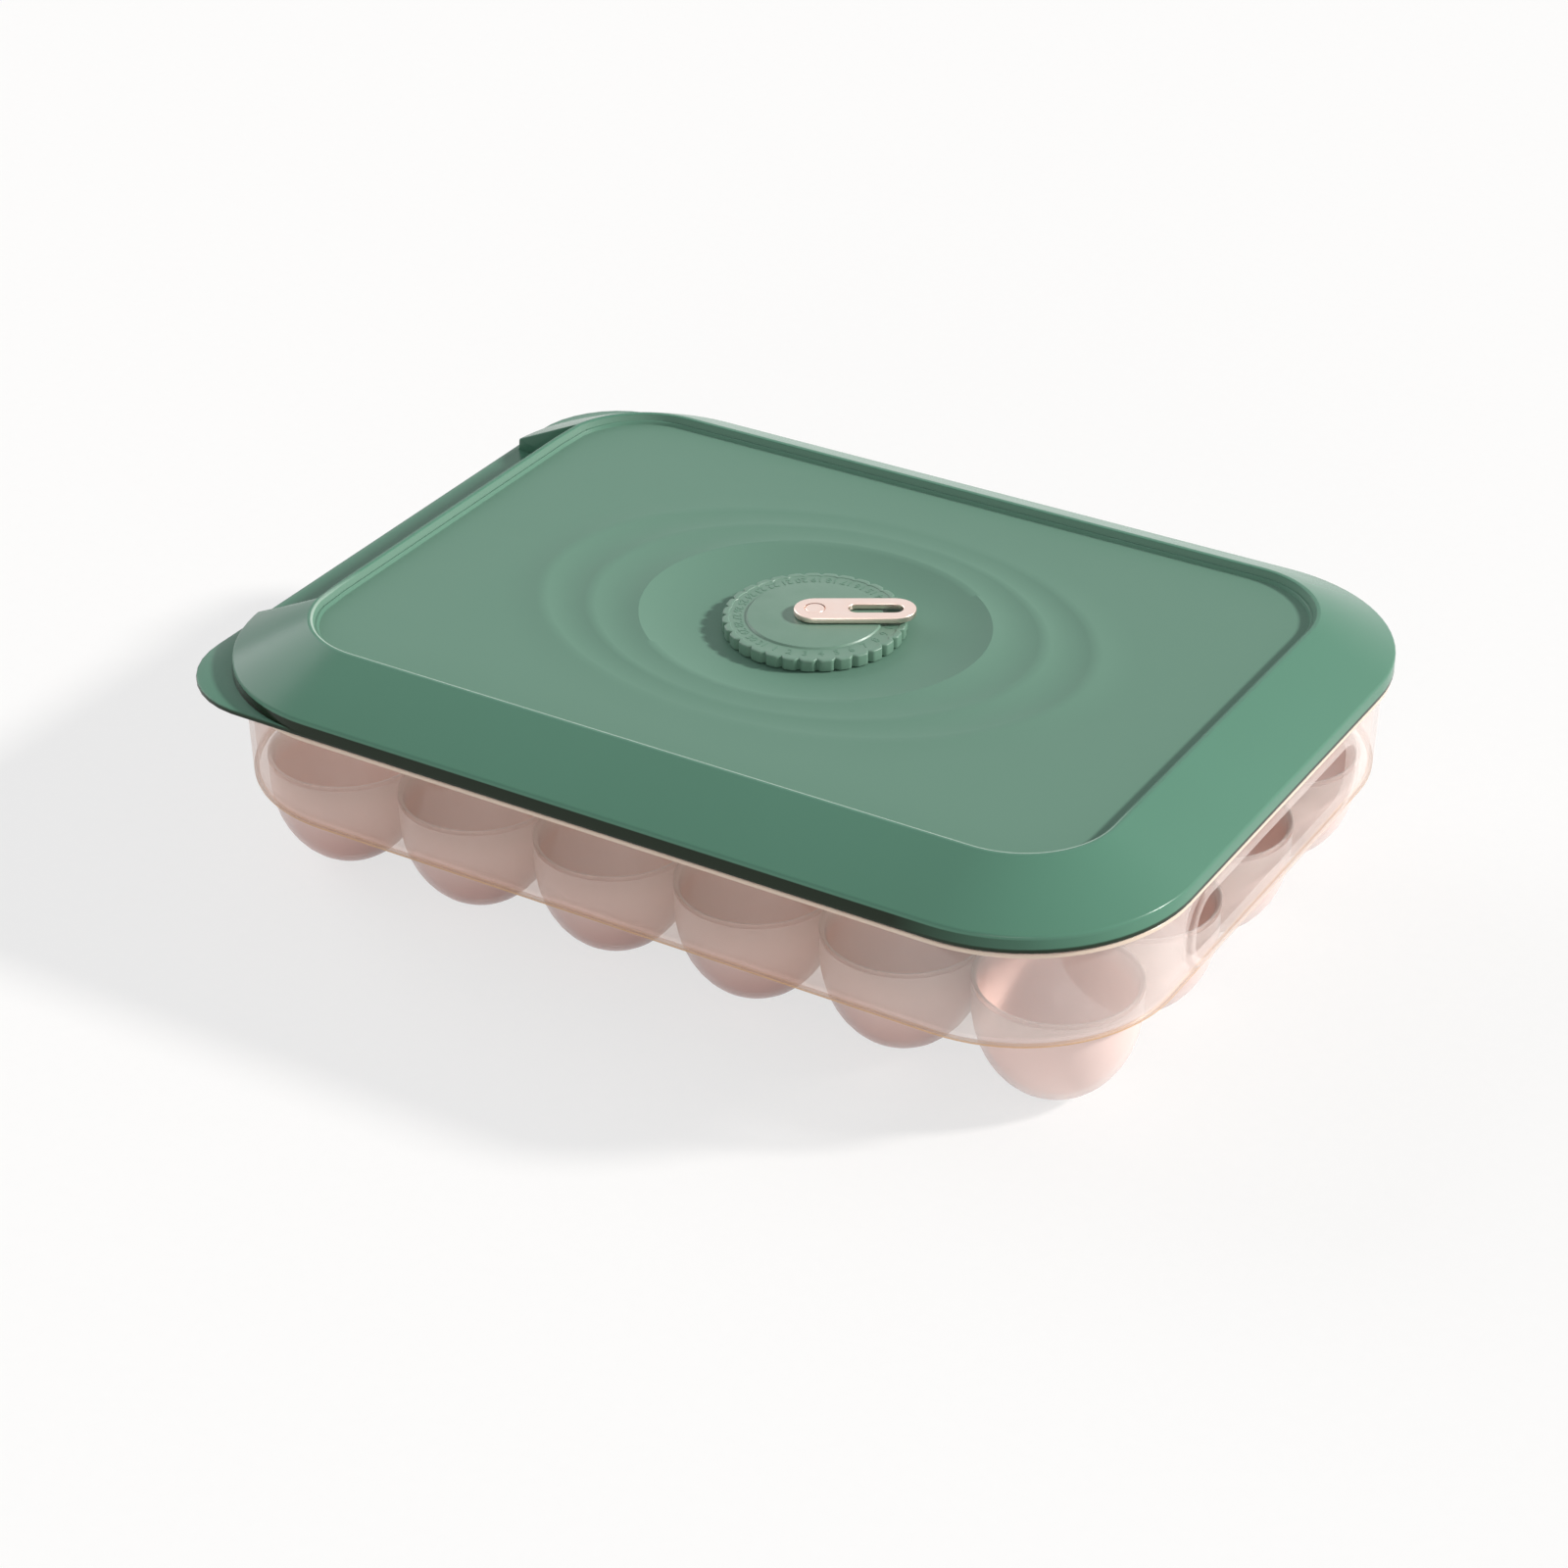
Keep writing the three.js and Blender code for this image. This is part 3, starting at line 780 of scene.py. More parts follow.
def lip_rings():
    """The lifting lip with its blunt edge, from the lid's bottom up to the ledge."""
    reaches = lip_reaches()
    return [
        lid_ring(0, LID_BOTTOM, [reach - LIP_EDGE for reach in reaches]),
        lid_ring(0, LID_BOTTOM + LIP_TURN, [reach - LIP_TURN for reach in reaches]),
        lid_ring(0, LID_BOTTOM + LIP_EDGE, reaches),
        lid_ring(0, LEDGE_TOP - LIP_EDGE, reaches),
        lid_ring(0, LEDGE_TOP - LIP_TURN, [max(reach - LIP_TURN, 0) for reach in reaches]),
        lid_ring(0, LEDGE_TOP, [max(reach - LIP_EDGE, 0) for reach in reaches]),
    ]


def shoulder_rings():
    """From the ledge up the shoulder, or up the grip's back wall, and over the crest to the panel."""
    over_crest = (
        (SHOULDER_WIDTH, LID_TOP, CREST_FILLETS[0]),
        (SHOULDER_WIDTH + CREST_WIDTH, LID_TOP, CREST_FILLETS[1]),
        (PANEL_INSET, PANEL_TOP, CREST_FILLETS[2]),
        (PANEL_INSET + PANEL_MARGIN, PANEL_TOP, 0),
    )
    whole = filleted(((0, LEDGE_TOP, 0), (0, FLANGE_TOP, FLANGE_FILLET), *over_crest))
    grip_foot = (SHOULDER_WIDTH - GRIP_WALL_RUN, LEDGE_TOP, LEDGE_FILLET)
    cut_away = filleted(((0, LEDGE_TOP, 0), grip_foot, *over_crest))
    return [lid_ring(*point, cut=cut, shares=OUTER_CUTS) for point, cut in zip(whole, cut_away)]


def dish_underside_rings():
    floor = PANEL_TOP - DISH_DEPTH - LID_SHEET
    floor_x, floor_y = DISH_FLOOR
    wide, deep = RIPPLE_CRESTS[0]
    return [
        ellipse_ring(PIN_HOLE, PIN_HOLE, floor),
        ellipse_ring(floor_x + LID_SHEET / 2, floor_y + LID_SHEET / 2, floor),
        ellipse_ring((floor_x + wide) / 2, (floor_y + deep) / 2, floor + DISH_DEPTH * DISH_UNDERSIDE_SHARE),
        ellipse_ring(wide + LID_SHEET, deep + LID_SHEET, PANEL_TOP - LID_SHEET),
    ]


def inner_rings():
    """The shell's inside, one sheet under the panel, crest and shoulder, and lower where the grip is."""
    slope = (LID_TOP - LID_BOTTOM - FLANGE_HEIGHT) / SHOULDER_WIDTH
    flange_top = LID_BOTTOM + FLANGE_HEIGHT - LID_SHEET * (sqrt(1 + slope ** 2) - slope)
    panel_under = PANEL_TOP - LID_SHEET
    ridge = LID_TOP - LID_SHEET
    grip_run = GRIP_WALL_RUN / (LID_TOP - LEDGE_TOP)
    grip_back = SHOULDER_WIDTH + LID_SHEET * hypot(1, grip_run)
    grip_heel = grip_back - (LID_TOP - LID_BOTTOM) * grip_run
    panel_fillet, ridge_fillet, crest_fillet, flange_fillet = UNDERSIDE_FILLETS
    far, near, tip = CREST_HOLLOW_SHARES
    whole = filleted((
        (PANEL_INSET + far * LID_SHEET, panel_under, 0),
        (PANEL_INSET + near * LID_SHEET, panel_under, panel_fillet),
        (PANEL_INSET + tip * LID_SHEET, ridge, ridge_fillet),
        (LID_SHEET + (ridge - flange_top) / slope, ridge, crest_fillet),
        (grip_heel, flange_top + (grip_heel - LID_SHEET) * slope, 0),
        (LID_SHEET, flange_top, flange_fillet),
        (LID_SHEET, LID_BOTTOM, 0),
    ))
    rings = []
    for point in whole:
        under_grip = max(LID_BOTTOM, min(point.y, LID_TOP - (grip_back - point.x) / grip_run))
        rings.append(lid_ring(*point, cut=Vector((point.x, under_grip)), shares=INNER_CUTS))
    return rings


def lid_mesh():
    """One closed skin: lip, shoulder, panel and dish, then the dish's underside and the shell's inside."""
    lip = lip_rings()
    shoulder = shoulder_rings()
    panel = panel_rings()
    edges = list(zip(shoulder[-1], panel[0]))
    flat = [[point.lerp(other, share) for point, other in edges] for share in FLAT_SHARES]
    rings = lip + shoulder + flat + panel + dish_underside_rings() + inner_rings()
    points, faces = ring_skin(rings, closed=True)
    matt = [0.0] * (len(lip) + len(shoulder) - MATT_RINGS) + [1.0] * (MATT_RINGS + len(flat) + len(panel))
    matt += [UNDERSIDE_MATT] * (len(rings) - len(matt))
    # Painted shade on the lip's edge and underside, as a share of dark green on each ring
    dark = [*LIP_PAINTED_SHADE_SHARES] + [0] * (len(rings) - len(lip))
    count = len(LID_EDGE)
    return new_mesh("lid_moulding", points, faces, {
        "panel": [value for value in matt for _ in range(count)],
        "deep": [value for value in dark for _ in range(count)],
    })


def make_lid(material):
    piece = new_piece("lid_moulding", lid_mesh(), material, LID_SHARP)
    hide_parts("lid")
    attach(piece, "lid")


def cup_profile():
    """Outside and inside of a cup, from its foot's centre up its bowl and neck to the deck round it."""
    start = asin(FOOT_RADIUS / NECK_RADIUS)
    corners = [(0, 0, 0)]
    for step in range(BOWL_STEPS + 1):
        angle = start + (pi / 2 - start) * step / BOWL_STEPS
        corners.append((NECK_RADIUS * sin(angle), NECK_HEIGHT * (1 - cos(angle) / cos(start)), 0))
    corners += [(NECK_RADIUS, DECK_TOP - TRAY_SHEET, NECK_FILLET), (DECK_START, DECK_TOP - TRAY_SHEET, 0)]
    outside = filleted(corners)
    inside = []
    for number, point in enumerate(outside):
        before = outside[max(number - 1, 0)]
        after = outside[min(number + 1, len(outside) - 1)]
        along = (after - before).normalized()
        inside.append(point + Vector((-along.y, along.x)) * TRAY_SHEET)
    inside[0].x = 0
    return outside, inside


def turned_rings(profile, sides):
    rings = []
    for point in profile:
        angles = (2 * pi * side / sides for side in range(sides))
        rings.append([Vector((point.x * cos(angle), point.x * sin(angle), point.y)) for angle in angles])
    return rings


def bowl_mesh():
    """Both skins of a bowl. Its last ring belongs to the deck, and its rim isn't counted as inside."""
    points = []
    faces = []
    zones = {"inside": [], "deck": []}
    for skin, profile in enumerate(cup_profile()):
        ring_points, ring_faces = ring_skin(turned_rings(profile, CUP_SIDES), closed=False)
        start = len(points)
        points += ring_points
        faces += [tuple(start + corner for corner in face) for face in ring_faces]
        for place in profile:
            zones["inside"] += [float(skin and place.y < BOWL_TOP)] * CUP_SIDES
            zones["deck"] += [float(place is profile[-1])] * CUP_SIDES
    return raw_mesh("bowl", points, faces, zones)


def cup_grid_tree():
    """Geometry nodes that set one bowl out in rows and columns, on its own centre."""
    nodes = Growth("bowls_in_rows", ("Bowl", "Geometry"), ("Columns", "Int"), ("Rows", "Int"),
                   ("Pitch X", "Float"), ("Pitch Y", "Float"))
    bowl, columns, rows, pitch_x, pitch_y, _ = nodes.given
    grid = nodes.node("GeometryNodeMeshGrid", {
        "Size X": (columns - 1) * pitch_x,
        "Size Y": (rows - 1) * pitch_y,
        "Vertices X": columns,
        "Vertices Y": rows,
    })
    copies = nodes.node("GeometryNodeInstanceOnPoints", {"Points": grid, "Instance": bowl})
    return nodes.end("Bowls", copies)


def made_mesh(piece):
    """The mesh that a piece's modifiers or curves make."""
    depsgraph = bpy.context.evaluated_depsgraph_get()
    return bpy.data.meshes.new_from_object(piece.evaluated_get(depsgraph), depsgraph=depsgraph)


def grown(piece, tree, material, **values):
    """The mesh that a geometry nodes tree makes of a piece, whose modifier is removed again."""
    values["Material"] = material
    modifier = piece.modifiers.new(tree.name, "NODES")
    modifier.node_group = tree
    for item in tree.interface.items_tree:
        key = item.name.replace(" ", "_")
        if item.item_type == "SOCKET" and item.in_out == "INPUT" and key in values:
            modifier[item.identifier] = values[key]
    mesh = made_mesh(piece)
    piece.modifiers.remove(modifier)
    return mesh


def cup_limits(column, row):
    """How far a cup's deck goes along -X, +X, -Y and +Y to its neighbours. None stands for the wall."""
    return (
        None if column == 0 else PITCH_X / 2,
        None if column == COLUMNS - 1 else PITCH_X / 2,
        None if row == 0 else PITCH_Y / 2,
        None if row == ROWS - 1 else PITCH_Y / 2,
    )


def deck_edge(centre, limits, angle):
    """(distance, meets the wall) of a piece of deck's edge in one direction from its cup's centre."""
    direction = Vector((cos(angle), sin(angle)))
    distance = edge_distance(centre, direction, DECK_HALF_X, DECK_HALF_Y, DECK_CORNER)
    walled = True
    for limit, component in zip(limits, (-direction.x, direction.x, -direction.y, direction.y)):
        if limit and component > LEAST_SLANT and limit / component < distance:
            distance = limit / component
            walled = False
    return distance, walled


def deck_corners(centre, limits):
    """Angles at which the edge turns a corner, and the distances: by a neighbour, or at the wall."""
    left, right, front, back = limits
    corners = []
    for side_x, limit_x in ((1, right), (-1, left)):
        for side_y, limit_y in ((1, back), (-1, front)):
            if limit_x is None and limit_y is None:
                continue
            across = limit_x or DECK_HALF_X - abs(centre.x)
            up = limit_y or DECK_HALF_Y - abs(centre.y)
            corners.append((atan2(side_y * up, side_x * across) % (2 * pi), hypot(across, up)))
    return corners


def add_deck(points, faces, column, row):
    """The deck round one cup, out to its neighbours and the wall, as two faces one sheet apart."""
    centre = Vector(((column - (COLUMNS - 1) / 2) * PITCH_X, (row - (ROWS - 1) / 2) * PITCH_Y))
    limits = cup_limits(column, row)
    corners = deck_corners(centre, limits)
    step = 2 * pi / CUP_SIDES

    def pair(distance, angle):
        x = centre.x + distance * cos(angle)
        y = centre.y + distance * sin(angle)
        points.extend(((x, y, DECK_TOP - TRAY_SHEET), (x, y, DECK_TOP)))
        return len(points) - 2, len(points) - 1

    for side in range(CUP_SIDES):
        start, end = side * step, (side + 1) * step
        edges = [(start, *deck_edge(centre, limits, start))]
        for angle, distance in corners:
            if start + step * SLIVER_SHARE < angle < end - step * SLIVER_SHARE:
                edges.append((angle, distance, edges[0][2]))
        edges.append((end, *deck_edge(centre, limits, end)))
        pairs = [pair(distance, angle) for angle, distance, _ in edges]
        seam_start = pair(DECK_START, start)
        seam_end = pair(DECK_START, end)
        for level in range(2):
            faces.append((seam_start[level], *(both[level] for both in pairs), seam_end[level]))
        for (first, second), (before, after) in zip(zip(edges, edges[1:]), zip(pairs, pairs[1:])):
            middle = (first[0] + second[0]) / 2
            if deck_edge(centre, limits, middle)[1]:
                faces.append((before[0], after[0], after[1], before[1]))


def deck_mesh():
    points = []
    faces = []
    for row in range(ROWS):
        for column in range(COLUMNS):
            add_deck(points, faces, column, row)
    points = [(x + MIDDLE_X, y, z) for x, y, z in points]
    return new_mesh("deck", points, faces, {"deck": [1.0] * len(points)})


def bowls_mesh(material):
    holder = new_piece("bowl", bowl_mesh())
    mesh = grown(holder, cup_grid_tree(), material, Columns=COLUMNS, Rows=ROWS, Pitch_X=PITCH_X,
                 Pitch_Y=PITCH_Y)
    bpy.data.objects.remove(holder)
    for vertex in mesh.vertices:
        vertex.co.x += MIDDLE_X
    return mesh


def wall_mesh():
    """The wall, rim and upstand as one closed ring."""
    top = WALL_HIGH.z
    foot = WALL_LOW.z
    section = filleted((
        (WALL_INSET + WALL_DRAFT + TRAY_SHEET / 2, foot, 0),
        (WALL_INSET + WALL_DRAFT, foot, WALL_FOOT_FILLET),
        (WALL_INSET, RIM_TOP - RIM_THICKNESS, UNDER_RIM_FILLET),
        (RIM_INSET, RIM_TOP - RIM_THICKNESS, RIM_FILLET),
        (RIM_INSET, RIM_TOP, RIM_FILLET),
        (WALL_INSET, RIM_TOP, RIM_FILLET),
        (WALL_INSET, top, RIM_FILLET),
        (WALL_INSET + TRAY_SHEET, top, RIM_FILLET),
        (WALL_INSET + TRAY_SHEET, RIM_TOP, INNER_RIM_FILLET),
        (WALL_INSET + WALL_DRAFT + TRAY_SHEET, foot, RIM_FILLET),
        (WALL_INSET + WALL_DRAFT + TRAY_SHEET / 2 + WALL_SEAM, foot, 0),
    ), steps=3)
    return new_mesh("wall", *ring_skin([lid_ring(*point) for point in section], closed=True))


HOLE_EDGE = rounded_edge(*FINGER_HOLE, *HOLE_EDGE_STEPS)


def hole_ring(side, grow, across):
    """A ring round a finger hole, at a distance across from the box's middle."""
    ring = []
    for point, outward in HOLE_EDGE:
        place = point + outward * grow
        ring.append(Vector((MIDDLE_X + side * across, place.x, FINGER_HOLE_MIDDLE + place.y)))
    return ring


def border_mesh(side):
    """The raised border round a finger hole, as a closed ring."""
    wall = LID_HALF_X - WALL_INSET
    inner = wall - WALL_DRAFT - TRAY_SHEET + BORDER_SINK
    outer = wall + BORDER_RELIEF
    section = filleted((
        (-BORDER_LAP, inner + BORDER_STEP, 0),
        (-BORDER_LAP, inner, 0),
        (BORDER_ROOT, inner, 0),
        (BORDER_WIDTH, wall - WALL_DRAFT, 0),
        (BORDER_WIDTH, outer, BORDER_FILLET),
        (-BORDER_LAP, outer, 0),
    ), steps=5)
    return new_mesh("border", *ring_skin([hole_ring(side, *point) for point in section], closed=True))


def finger_cutter(side):
    wall = LID_HALF_X - WALL_INSET
    inner = wall - WALL_DRAFT - TRAY_SHEET - CUT_OVERRUN
    rings = [hole_ring(side, 0, across) for across in (inner, wall + CUT_OVERRUN)]
    points, faces = ring_skin(rings, closed=False)
    count = len(HOLE_EDGE)
    faces += [tuple(range(count)), tuple(range(count, 2 * count))]
    return new_piece("finger_room", new_mesh("finger_room", points, faces))


def upstand_cutter():
    """Room for the lid's ledge in the tray's upstand."""
    outer = LID_LOW.x - CUT_OVERRUN
    inner = MIDDLE_X - LID_HALF_X + WALL_INSET + TRAY_SHEET + CUT_OVERRUN
    half = GRIP_HALF_LENGTH + UPSTAND_GAP
    outline = ((outer, -half), (inner, -half), (inner, half), (outer, half))
    rings = [[Vector((x, y, z)) for x, y in outline] for z in (RIM_TOP + UPSTAND_FOOT, LID_TOP)]
    points, faces = ring_skin(rings, closed=False)
    return new_piece("ledge_room", new_mesh("ledge_room", points, faces + [(0, 1, 2, 3), (4, 5, 6, 7)]))


def carve(piece, others, operation):
    """Joins other pieces to this one, or cuts them out of it, and removes them."""
    group = bpy.data.collections.new(operation)
    for other in others:
        group.objects.link(other)
    modifier = piece.modifiers.new(operation, "BOOLEAN")
    modifier.operation = operation
    modifier.operand_type = "COLLECTION"
    modifier.collection = group
    modifier.solver = "EXACT"
    mesh = made_mesh(piece)
    piece.modifiers.remove(modifier)
    piece.data = mesh
    for other in others:
        bpy.data.objects.remove(other)
    bpy.data.collections.remove(group)


def make_tray(material):
    wall = new_piece("wall", wall_mesh())
    carve(wall, [new_piece("border", border_mesh(side)) for side in (-1, 1)], "UNION")
    carve(wall, [finger_cutter(-1), finger_cutter(1), upstand_cutter()], "DIFFERENCE")
    points = []
    faces = []
    zones = {"inside": [], "deck": []}
    for mesh in (wall.data, deck_mesh(), bowls_mesh(material)):
        start = len(points)
        points += [vertex.co.copy() for vertex in mesh.vertices]
        faces += [tuple(start + corner for corner in polygon.vertices) for polygon in mesh.polygons]
        for name, values in zones.items():
            layer = mesh.attributes.get(name)
            values += [item.value for item in layer.data] if layer else [0.0] * len(mesh.vertices)
    bpy.data.objects.remove(wall)
    tray = new_piece("egg_tray", new_mesh("egg_tray", points, faces, zones), material, TRAY_SHARP)
    cups = [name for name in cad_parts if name.startswith("egg_cup_")]
    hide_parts("tray_wall", *cups)
    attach(tray, "tray")


def turning_tree():
    """Geometry nodes that turn a line of points about Z, and press flutes into what lies near its rim."""
    nodes = Growth("turned_with_flutes", ("Section", "Geometry"), ("Sides", "Int"), ("Flutes", "Int"),
                   ("Flute Depth", "Float"), ("Rim Radius", "Float"), ("Centre X", "Float"))
    section, sides, flutes, depth, rim, centre, _ = nodes.given
    count = nodes.node("GeometryNodeAttributeDomainSize", {"Geometry": section})
    grid = nodes.node("GeometryNodeMeshGrid", {
        "Size X": 1.0, "Size Y": 1.0, "Vertices X": sides + 1, "Vertices Y": count,
    })
    number = nodes.node("GeometryNodeInputIndex")
    around = (number / count).math("FLOOR", number / count)
    angle = around / sides * (2 * pi)
    sample = nodes.add("GeometryNodeSampleIndex", {
        "Geometry": section, "Index": number.math("MODULO", number, count),
    }, data_type="FLOAT_VECTOR")
    nodes.feed(sample, "Value", nodes.node("GeometryNodeInputPosition"))
    split = nodes.add("ShaderNodeSeparateXYZ", {0: Wire(nodes, sample.outputs[0])})
    radius = Wire(nodes, split.outputs["X"])
    far, near = FLUTE_REACH_SHARES
    nearness = nodes.node("ShaderNodeMapRange", {
        "Value": radius, "From Min": rim - depth * far, "From Max": rim - depth * near,
    })
    half_turn = angle * flutes * 0.5
    groove = half_turn.math("COSINE", half_turn)
    groove = groove.math("ABSOLUTE", groove) ** FLUTE_SHARPNESS
    pressed = radius - groove * nearness * depth
    place = nodes.node("ShaderNodeCombineXYZ", {
        "X": centre + pressed * angle.math("COSINE", angle),
        "Y": pressed * angle.math("SINE", angle),
        "Z": Wire(nodes, split.outputs["Z"]),
    })
    moved = nodes.node("GeometryNodeSetPosition", {"Geometry": grid, "Position": place})
    closed = nodes.node("GeometryNodeMergeByDistance", {"Geometry": moved, "Distance": MERGE_REACH})
    return nodes.end("Turned", closed)


def turned_piece(name, tree, section, material, sides=TURNED_SIDES, flutes=0, depth=0.0, rim=1.0):
    points = [(point.x, 0, point.y) for point in section]
    edges = [(start, start + 1) for start in range(len(points) - 1)]
    holder = placed(name + "_section", raw_mesh(name, points, [], edges=edges))
    mesh = grown(holder, tree, material, Sides=sides, Flutes=flutes, Flute_Depth=depth, Rim_Radius=rim,
                 Centre_X=MIDDLE_X)
    bpy.data.objects.remove(holder)
    tidy_mesh(mesh)
    return new_piece(name, mesh, material)


def make_dial(tree, material):
    top = DIAL_HIGH.z
    low = DIAL_LOW.z
    groove = RING_TOP - GROOVE_DEPTH
    section = filleted((
        (PIN_HOLE, low, 0),
        (DIAL_RADIUS, low, DIAL_FOOT_FILLET),
        (DIAL_RADIUS, RING_TOP, DIAL_RIM_FILLET),
        (DIAL_RADIUS - RIM_LAND, RING_TOP, GROOVE_FILLET),
        (DIAL_RADIUS - RIM_LAND - GROOVE_DEPTH, groove, GROOVE_FILLET),
        (DISC_RADIUS + DISC_STEP, groove, GROOVE_FILLET),
        (DISC_RADIUS, top, DISC_FILLET),
        (PIN_HOLE, top, 0),
        (PIN_HOLE, low, 0),
    ))
    sides = DAYS * SIDES_PER_FLUTE
    piece = turned_piece("dial_disc", tree, section, material, sides, DAYS, FLUTE_DEPTH, DIAL_RADIUS)
    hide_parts("date_dial")
    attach(piece, "dial")


def number_tree():
    """Geometry nodes that set the numbers from one upwards round a ring, each standing a little proud."""
    nodes = Growth("numbers_round_a_ring", ("Count", "Int"), ("Ring Radius", "Float"),
                   ("Digit Height", "Float"), ("Relief", "Float"), ("Foot", "Float"), ("Centre X", "Float"))
    count, ring, height, relief, foot, centre, _ = nodes.given
    begin = nodes.add("GeometryNodeRepeatInput")
    finish = nodes.add("GeometryNodeRepeatOutput")
    begin.pair_with_output(finish)
    nodes.feed(begin, "Iterations", count)
    day = Wire(nodes, begin.outputs["Iteration"])
    text = nodes.node("FunctionNodeValueToString", {0: day + 1}, data_type="INT")
    curves = nodes.node("GeometryNodeStringToCurves", {
        "String": text, "Size": height,
    }, align_x="CENTER", align_y="MIDDLE")
    filled = nodes.node("GeometryNodeFillCurve", {"Curve": curves})
    flat = nodes.node("GeometryNodeRealizeInstances", {"Geometry": filled})
    raised = nodes.node("GeometryNodeExtrudeMesh", {
        "Mesh": flat, "Offset Scale": relief, "Individual": False,
    })
    under = nodes.node("GeometryNodeFlipFaces", {0: flat})
    both = nodes.add("GeometryNodeJoinGeometry")
    nodes.feed(both, 0, raised)
    nodes.feed(both, 0, under)
    joined = Wire(nodes, both.outputs[0])
    solid = nodes.node("GeometryNodeMergeByDistance", {"Geometry": joined, "Distance": MERGE_REACH})
    turn = day / count * (-2 * pi)
    bottom = nodes.node("ShaderNodeCombineXYZ", {"X": 0.0, "Y": ring * -1.0, "Z": foot})
    seated = nodes.node("GeometryNodeTransform", {"Geometry": solid, "Translation": bottom})
    about = nodes.node("ShaderNodeCombineXYZ", {"Z": turn * -1.0})
    across = nodes.node("ShaderNodeCombineXYZ", {"X": centre})
    turned = nodes.node("GeometryNodeTransform", {
        "Geometry": seated, "Rotation": about, "Translation": across,
    })
    gathered = nodes.add("GeometryNodeJoinGeometry")
    nodes.feed(gathered, 0, turned)
    nodes.feed(gathered, 0, Wire(nodes, begin.outputs["Geometry"]))
    nodes.feed(finish, "Geometry", Wire(nodes, gathered.outputs[0]))
    return nodes.end("Numbers", Wire(nodes, finish.outputs["Geometry"]))


def make_numbers(material):
    holder = new_piece("numbers_holder", bpy.data.meshes.new("numbers_holder"))
    mesh = grown(holder, number_tree(), material, Count=DAYS, Ring_Radius=NUMBER_RADIUS,
                 Digit_Height=NUMBER_HEIGHT, Relief=NUMBER_RELIEF,
                 Foot=RING_TOP - GROOVE_DEPTH - NUMBER_SINK, Centre_X=MIDDLE_X)
    bpy.data.objects.remove(holder)
    piece = new_piece("day_numbers", mesh, material)
    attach(piece, "dial")


def stadium(start, end, width):
    """Points round a bar with round ends, along +X."""
    radius = width / 2
    points = []
    for middle, first in ((end - radius, -pi / 2), (start + radius, pi / 2)):
        for step in range(ROUND_END_STEPS + 1):
            angle = first + pi * step / ROUND_END_STEPS
            points.append((middle + radius * cos(angle), radius * sin(angle)))
    return points


def make_pointer(tree, material):
    """A plate with bevelled edges, cut from a flat curve with its slot, then turned to its place."""
    curve = bpy.data.curves.new("pointer_plate", "CURVE")
    curve.dimensions = "2D"
    curve.fill_mode = "BOTH"
    curve.extrude = (POINTER_HIGH.z - POINTER_LOW.z) / 2 - POINTER_BEVEL
    curve.bevel_depth = POINTER_BEVEL
    curve.bevel_resolution = 2
    curve.offset = -POINTER_BEVEL
    hole = stadium(-PIN_HOLE, PIN_HOLE, 2 * PIN_HOLE)
    for points in (stadium(-POINTER_WIDTH / 2, POINTER_REACH, POINTER_WIDTH),
                   stadium(SLOT_START, SLOT_END, SLOT_WIDTH), hole):
        spline = curve.splines.new("POLY")
        spline.points.add(len(points) - 1)
        spline.use_cyclic_u = True
        for point, (x, y) in zip(spline.points, points):
            point.co = (x, y, 0, 1)
    holder = placed("pointer_curve", curve)
    mesh = made_mesh(holder)
    bpy.data.objects.remove(holder)
    middle = (POINTER_HIGH.z + POINTER_LOW.z) / 2
    for vertex in mesh.vertices:
        x, y, z = vertex.co
        across = x * cos(POINTER_ANGLE) - y * sin(POINTER_ANGLE)
        vertex.co = (MIDDLE_X + across, x * sin(POINTER_ANGLE) + y * cos(POINTER_ANGLE), z + middle)
    tidy_mesh(mesh)
    plate = new_piece("pointer_plate", mesh, material)
    floor = POINTER_HIGH.z - HEAD_DEPTH
    over = POINTER_HIGH.z + SEAT_OVERRUN
    seat = [Vector(place) for place in ((0, floor), (HEAD_SEAT, floor), (HEAD_SEAT, over), (0, over))]
    carve(plate, [turned_piece("head_seat", tree, seat, material)], "DIFFERENCE")
    plate.data.shade_smooth()
    plate.data.set_sharp_from_angle(angle=POINTER_SHARP)
    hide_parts("dial_pointer")
    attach(plate, "pointer")


def make_pin(tree, material):
    head = PIN_HIGH.z - PIN_HEAD_THICKNESS
    section = filleted((
        (0, PIN_LOW.z, 0),
        (PIN_RADIUS, PIN_LOW.z, PIN_TAIL_FILLET),
        (PIN_RADIUS, head, PIN_NECK_FILLET),
        (PIN_HEAD, head, PIN_NECK_FILLET),
        (PIN_HEAD, PIN_HIGH.z, PIN_HEAD_FILLET),
        (0, PIN_HIGH.z, 0),
    ))
    piece = turned_piece("pin_and_head", tree, section, material)
    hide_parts("pivot_pin")
    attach(piece, "lid")


def make_washer(tree, material):
    low, high = WASHER_LOW.z, WASHER_HIGH.z
    outer = (WASHER_HIGH.x - WASHER_LOW.x) / 2
    section = filleted((
        (PIN_HOLE, low, 0),
        (outer, low, WASHER_FILLET),
        (outer, high, WASHER_FILLET),
        (PIN_HOLE, high, 0),
        (PIN_HOLE, low, 0),
    ))
    piece = turned_piece("washer_ring", tree, section, material)
    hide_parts("retaining_washer")
    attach(piece, "lid")


def make_camera():
    camera = bpy.data.cameras.new("camera")
    camera.lens = CAMERA_LENS
    camera.sensor_width = CAMERA_SENSOR
    camera.sensor_fit = "HORIZONTAL"
    camera.clip_end = CAMERA_SIGHT
    place = placed("camera", camera)
    place.location = CAMERA_PLACE
    place.rotation_euler = (pi / 2 - CAMERA_DOWN, 0, CAMERA_TURN)
    bpy.context.scene.camera = place


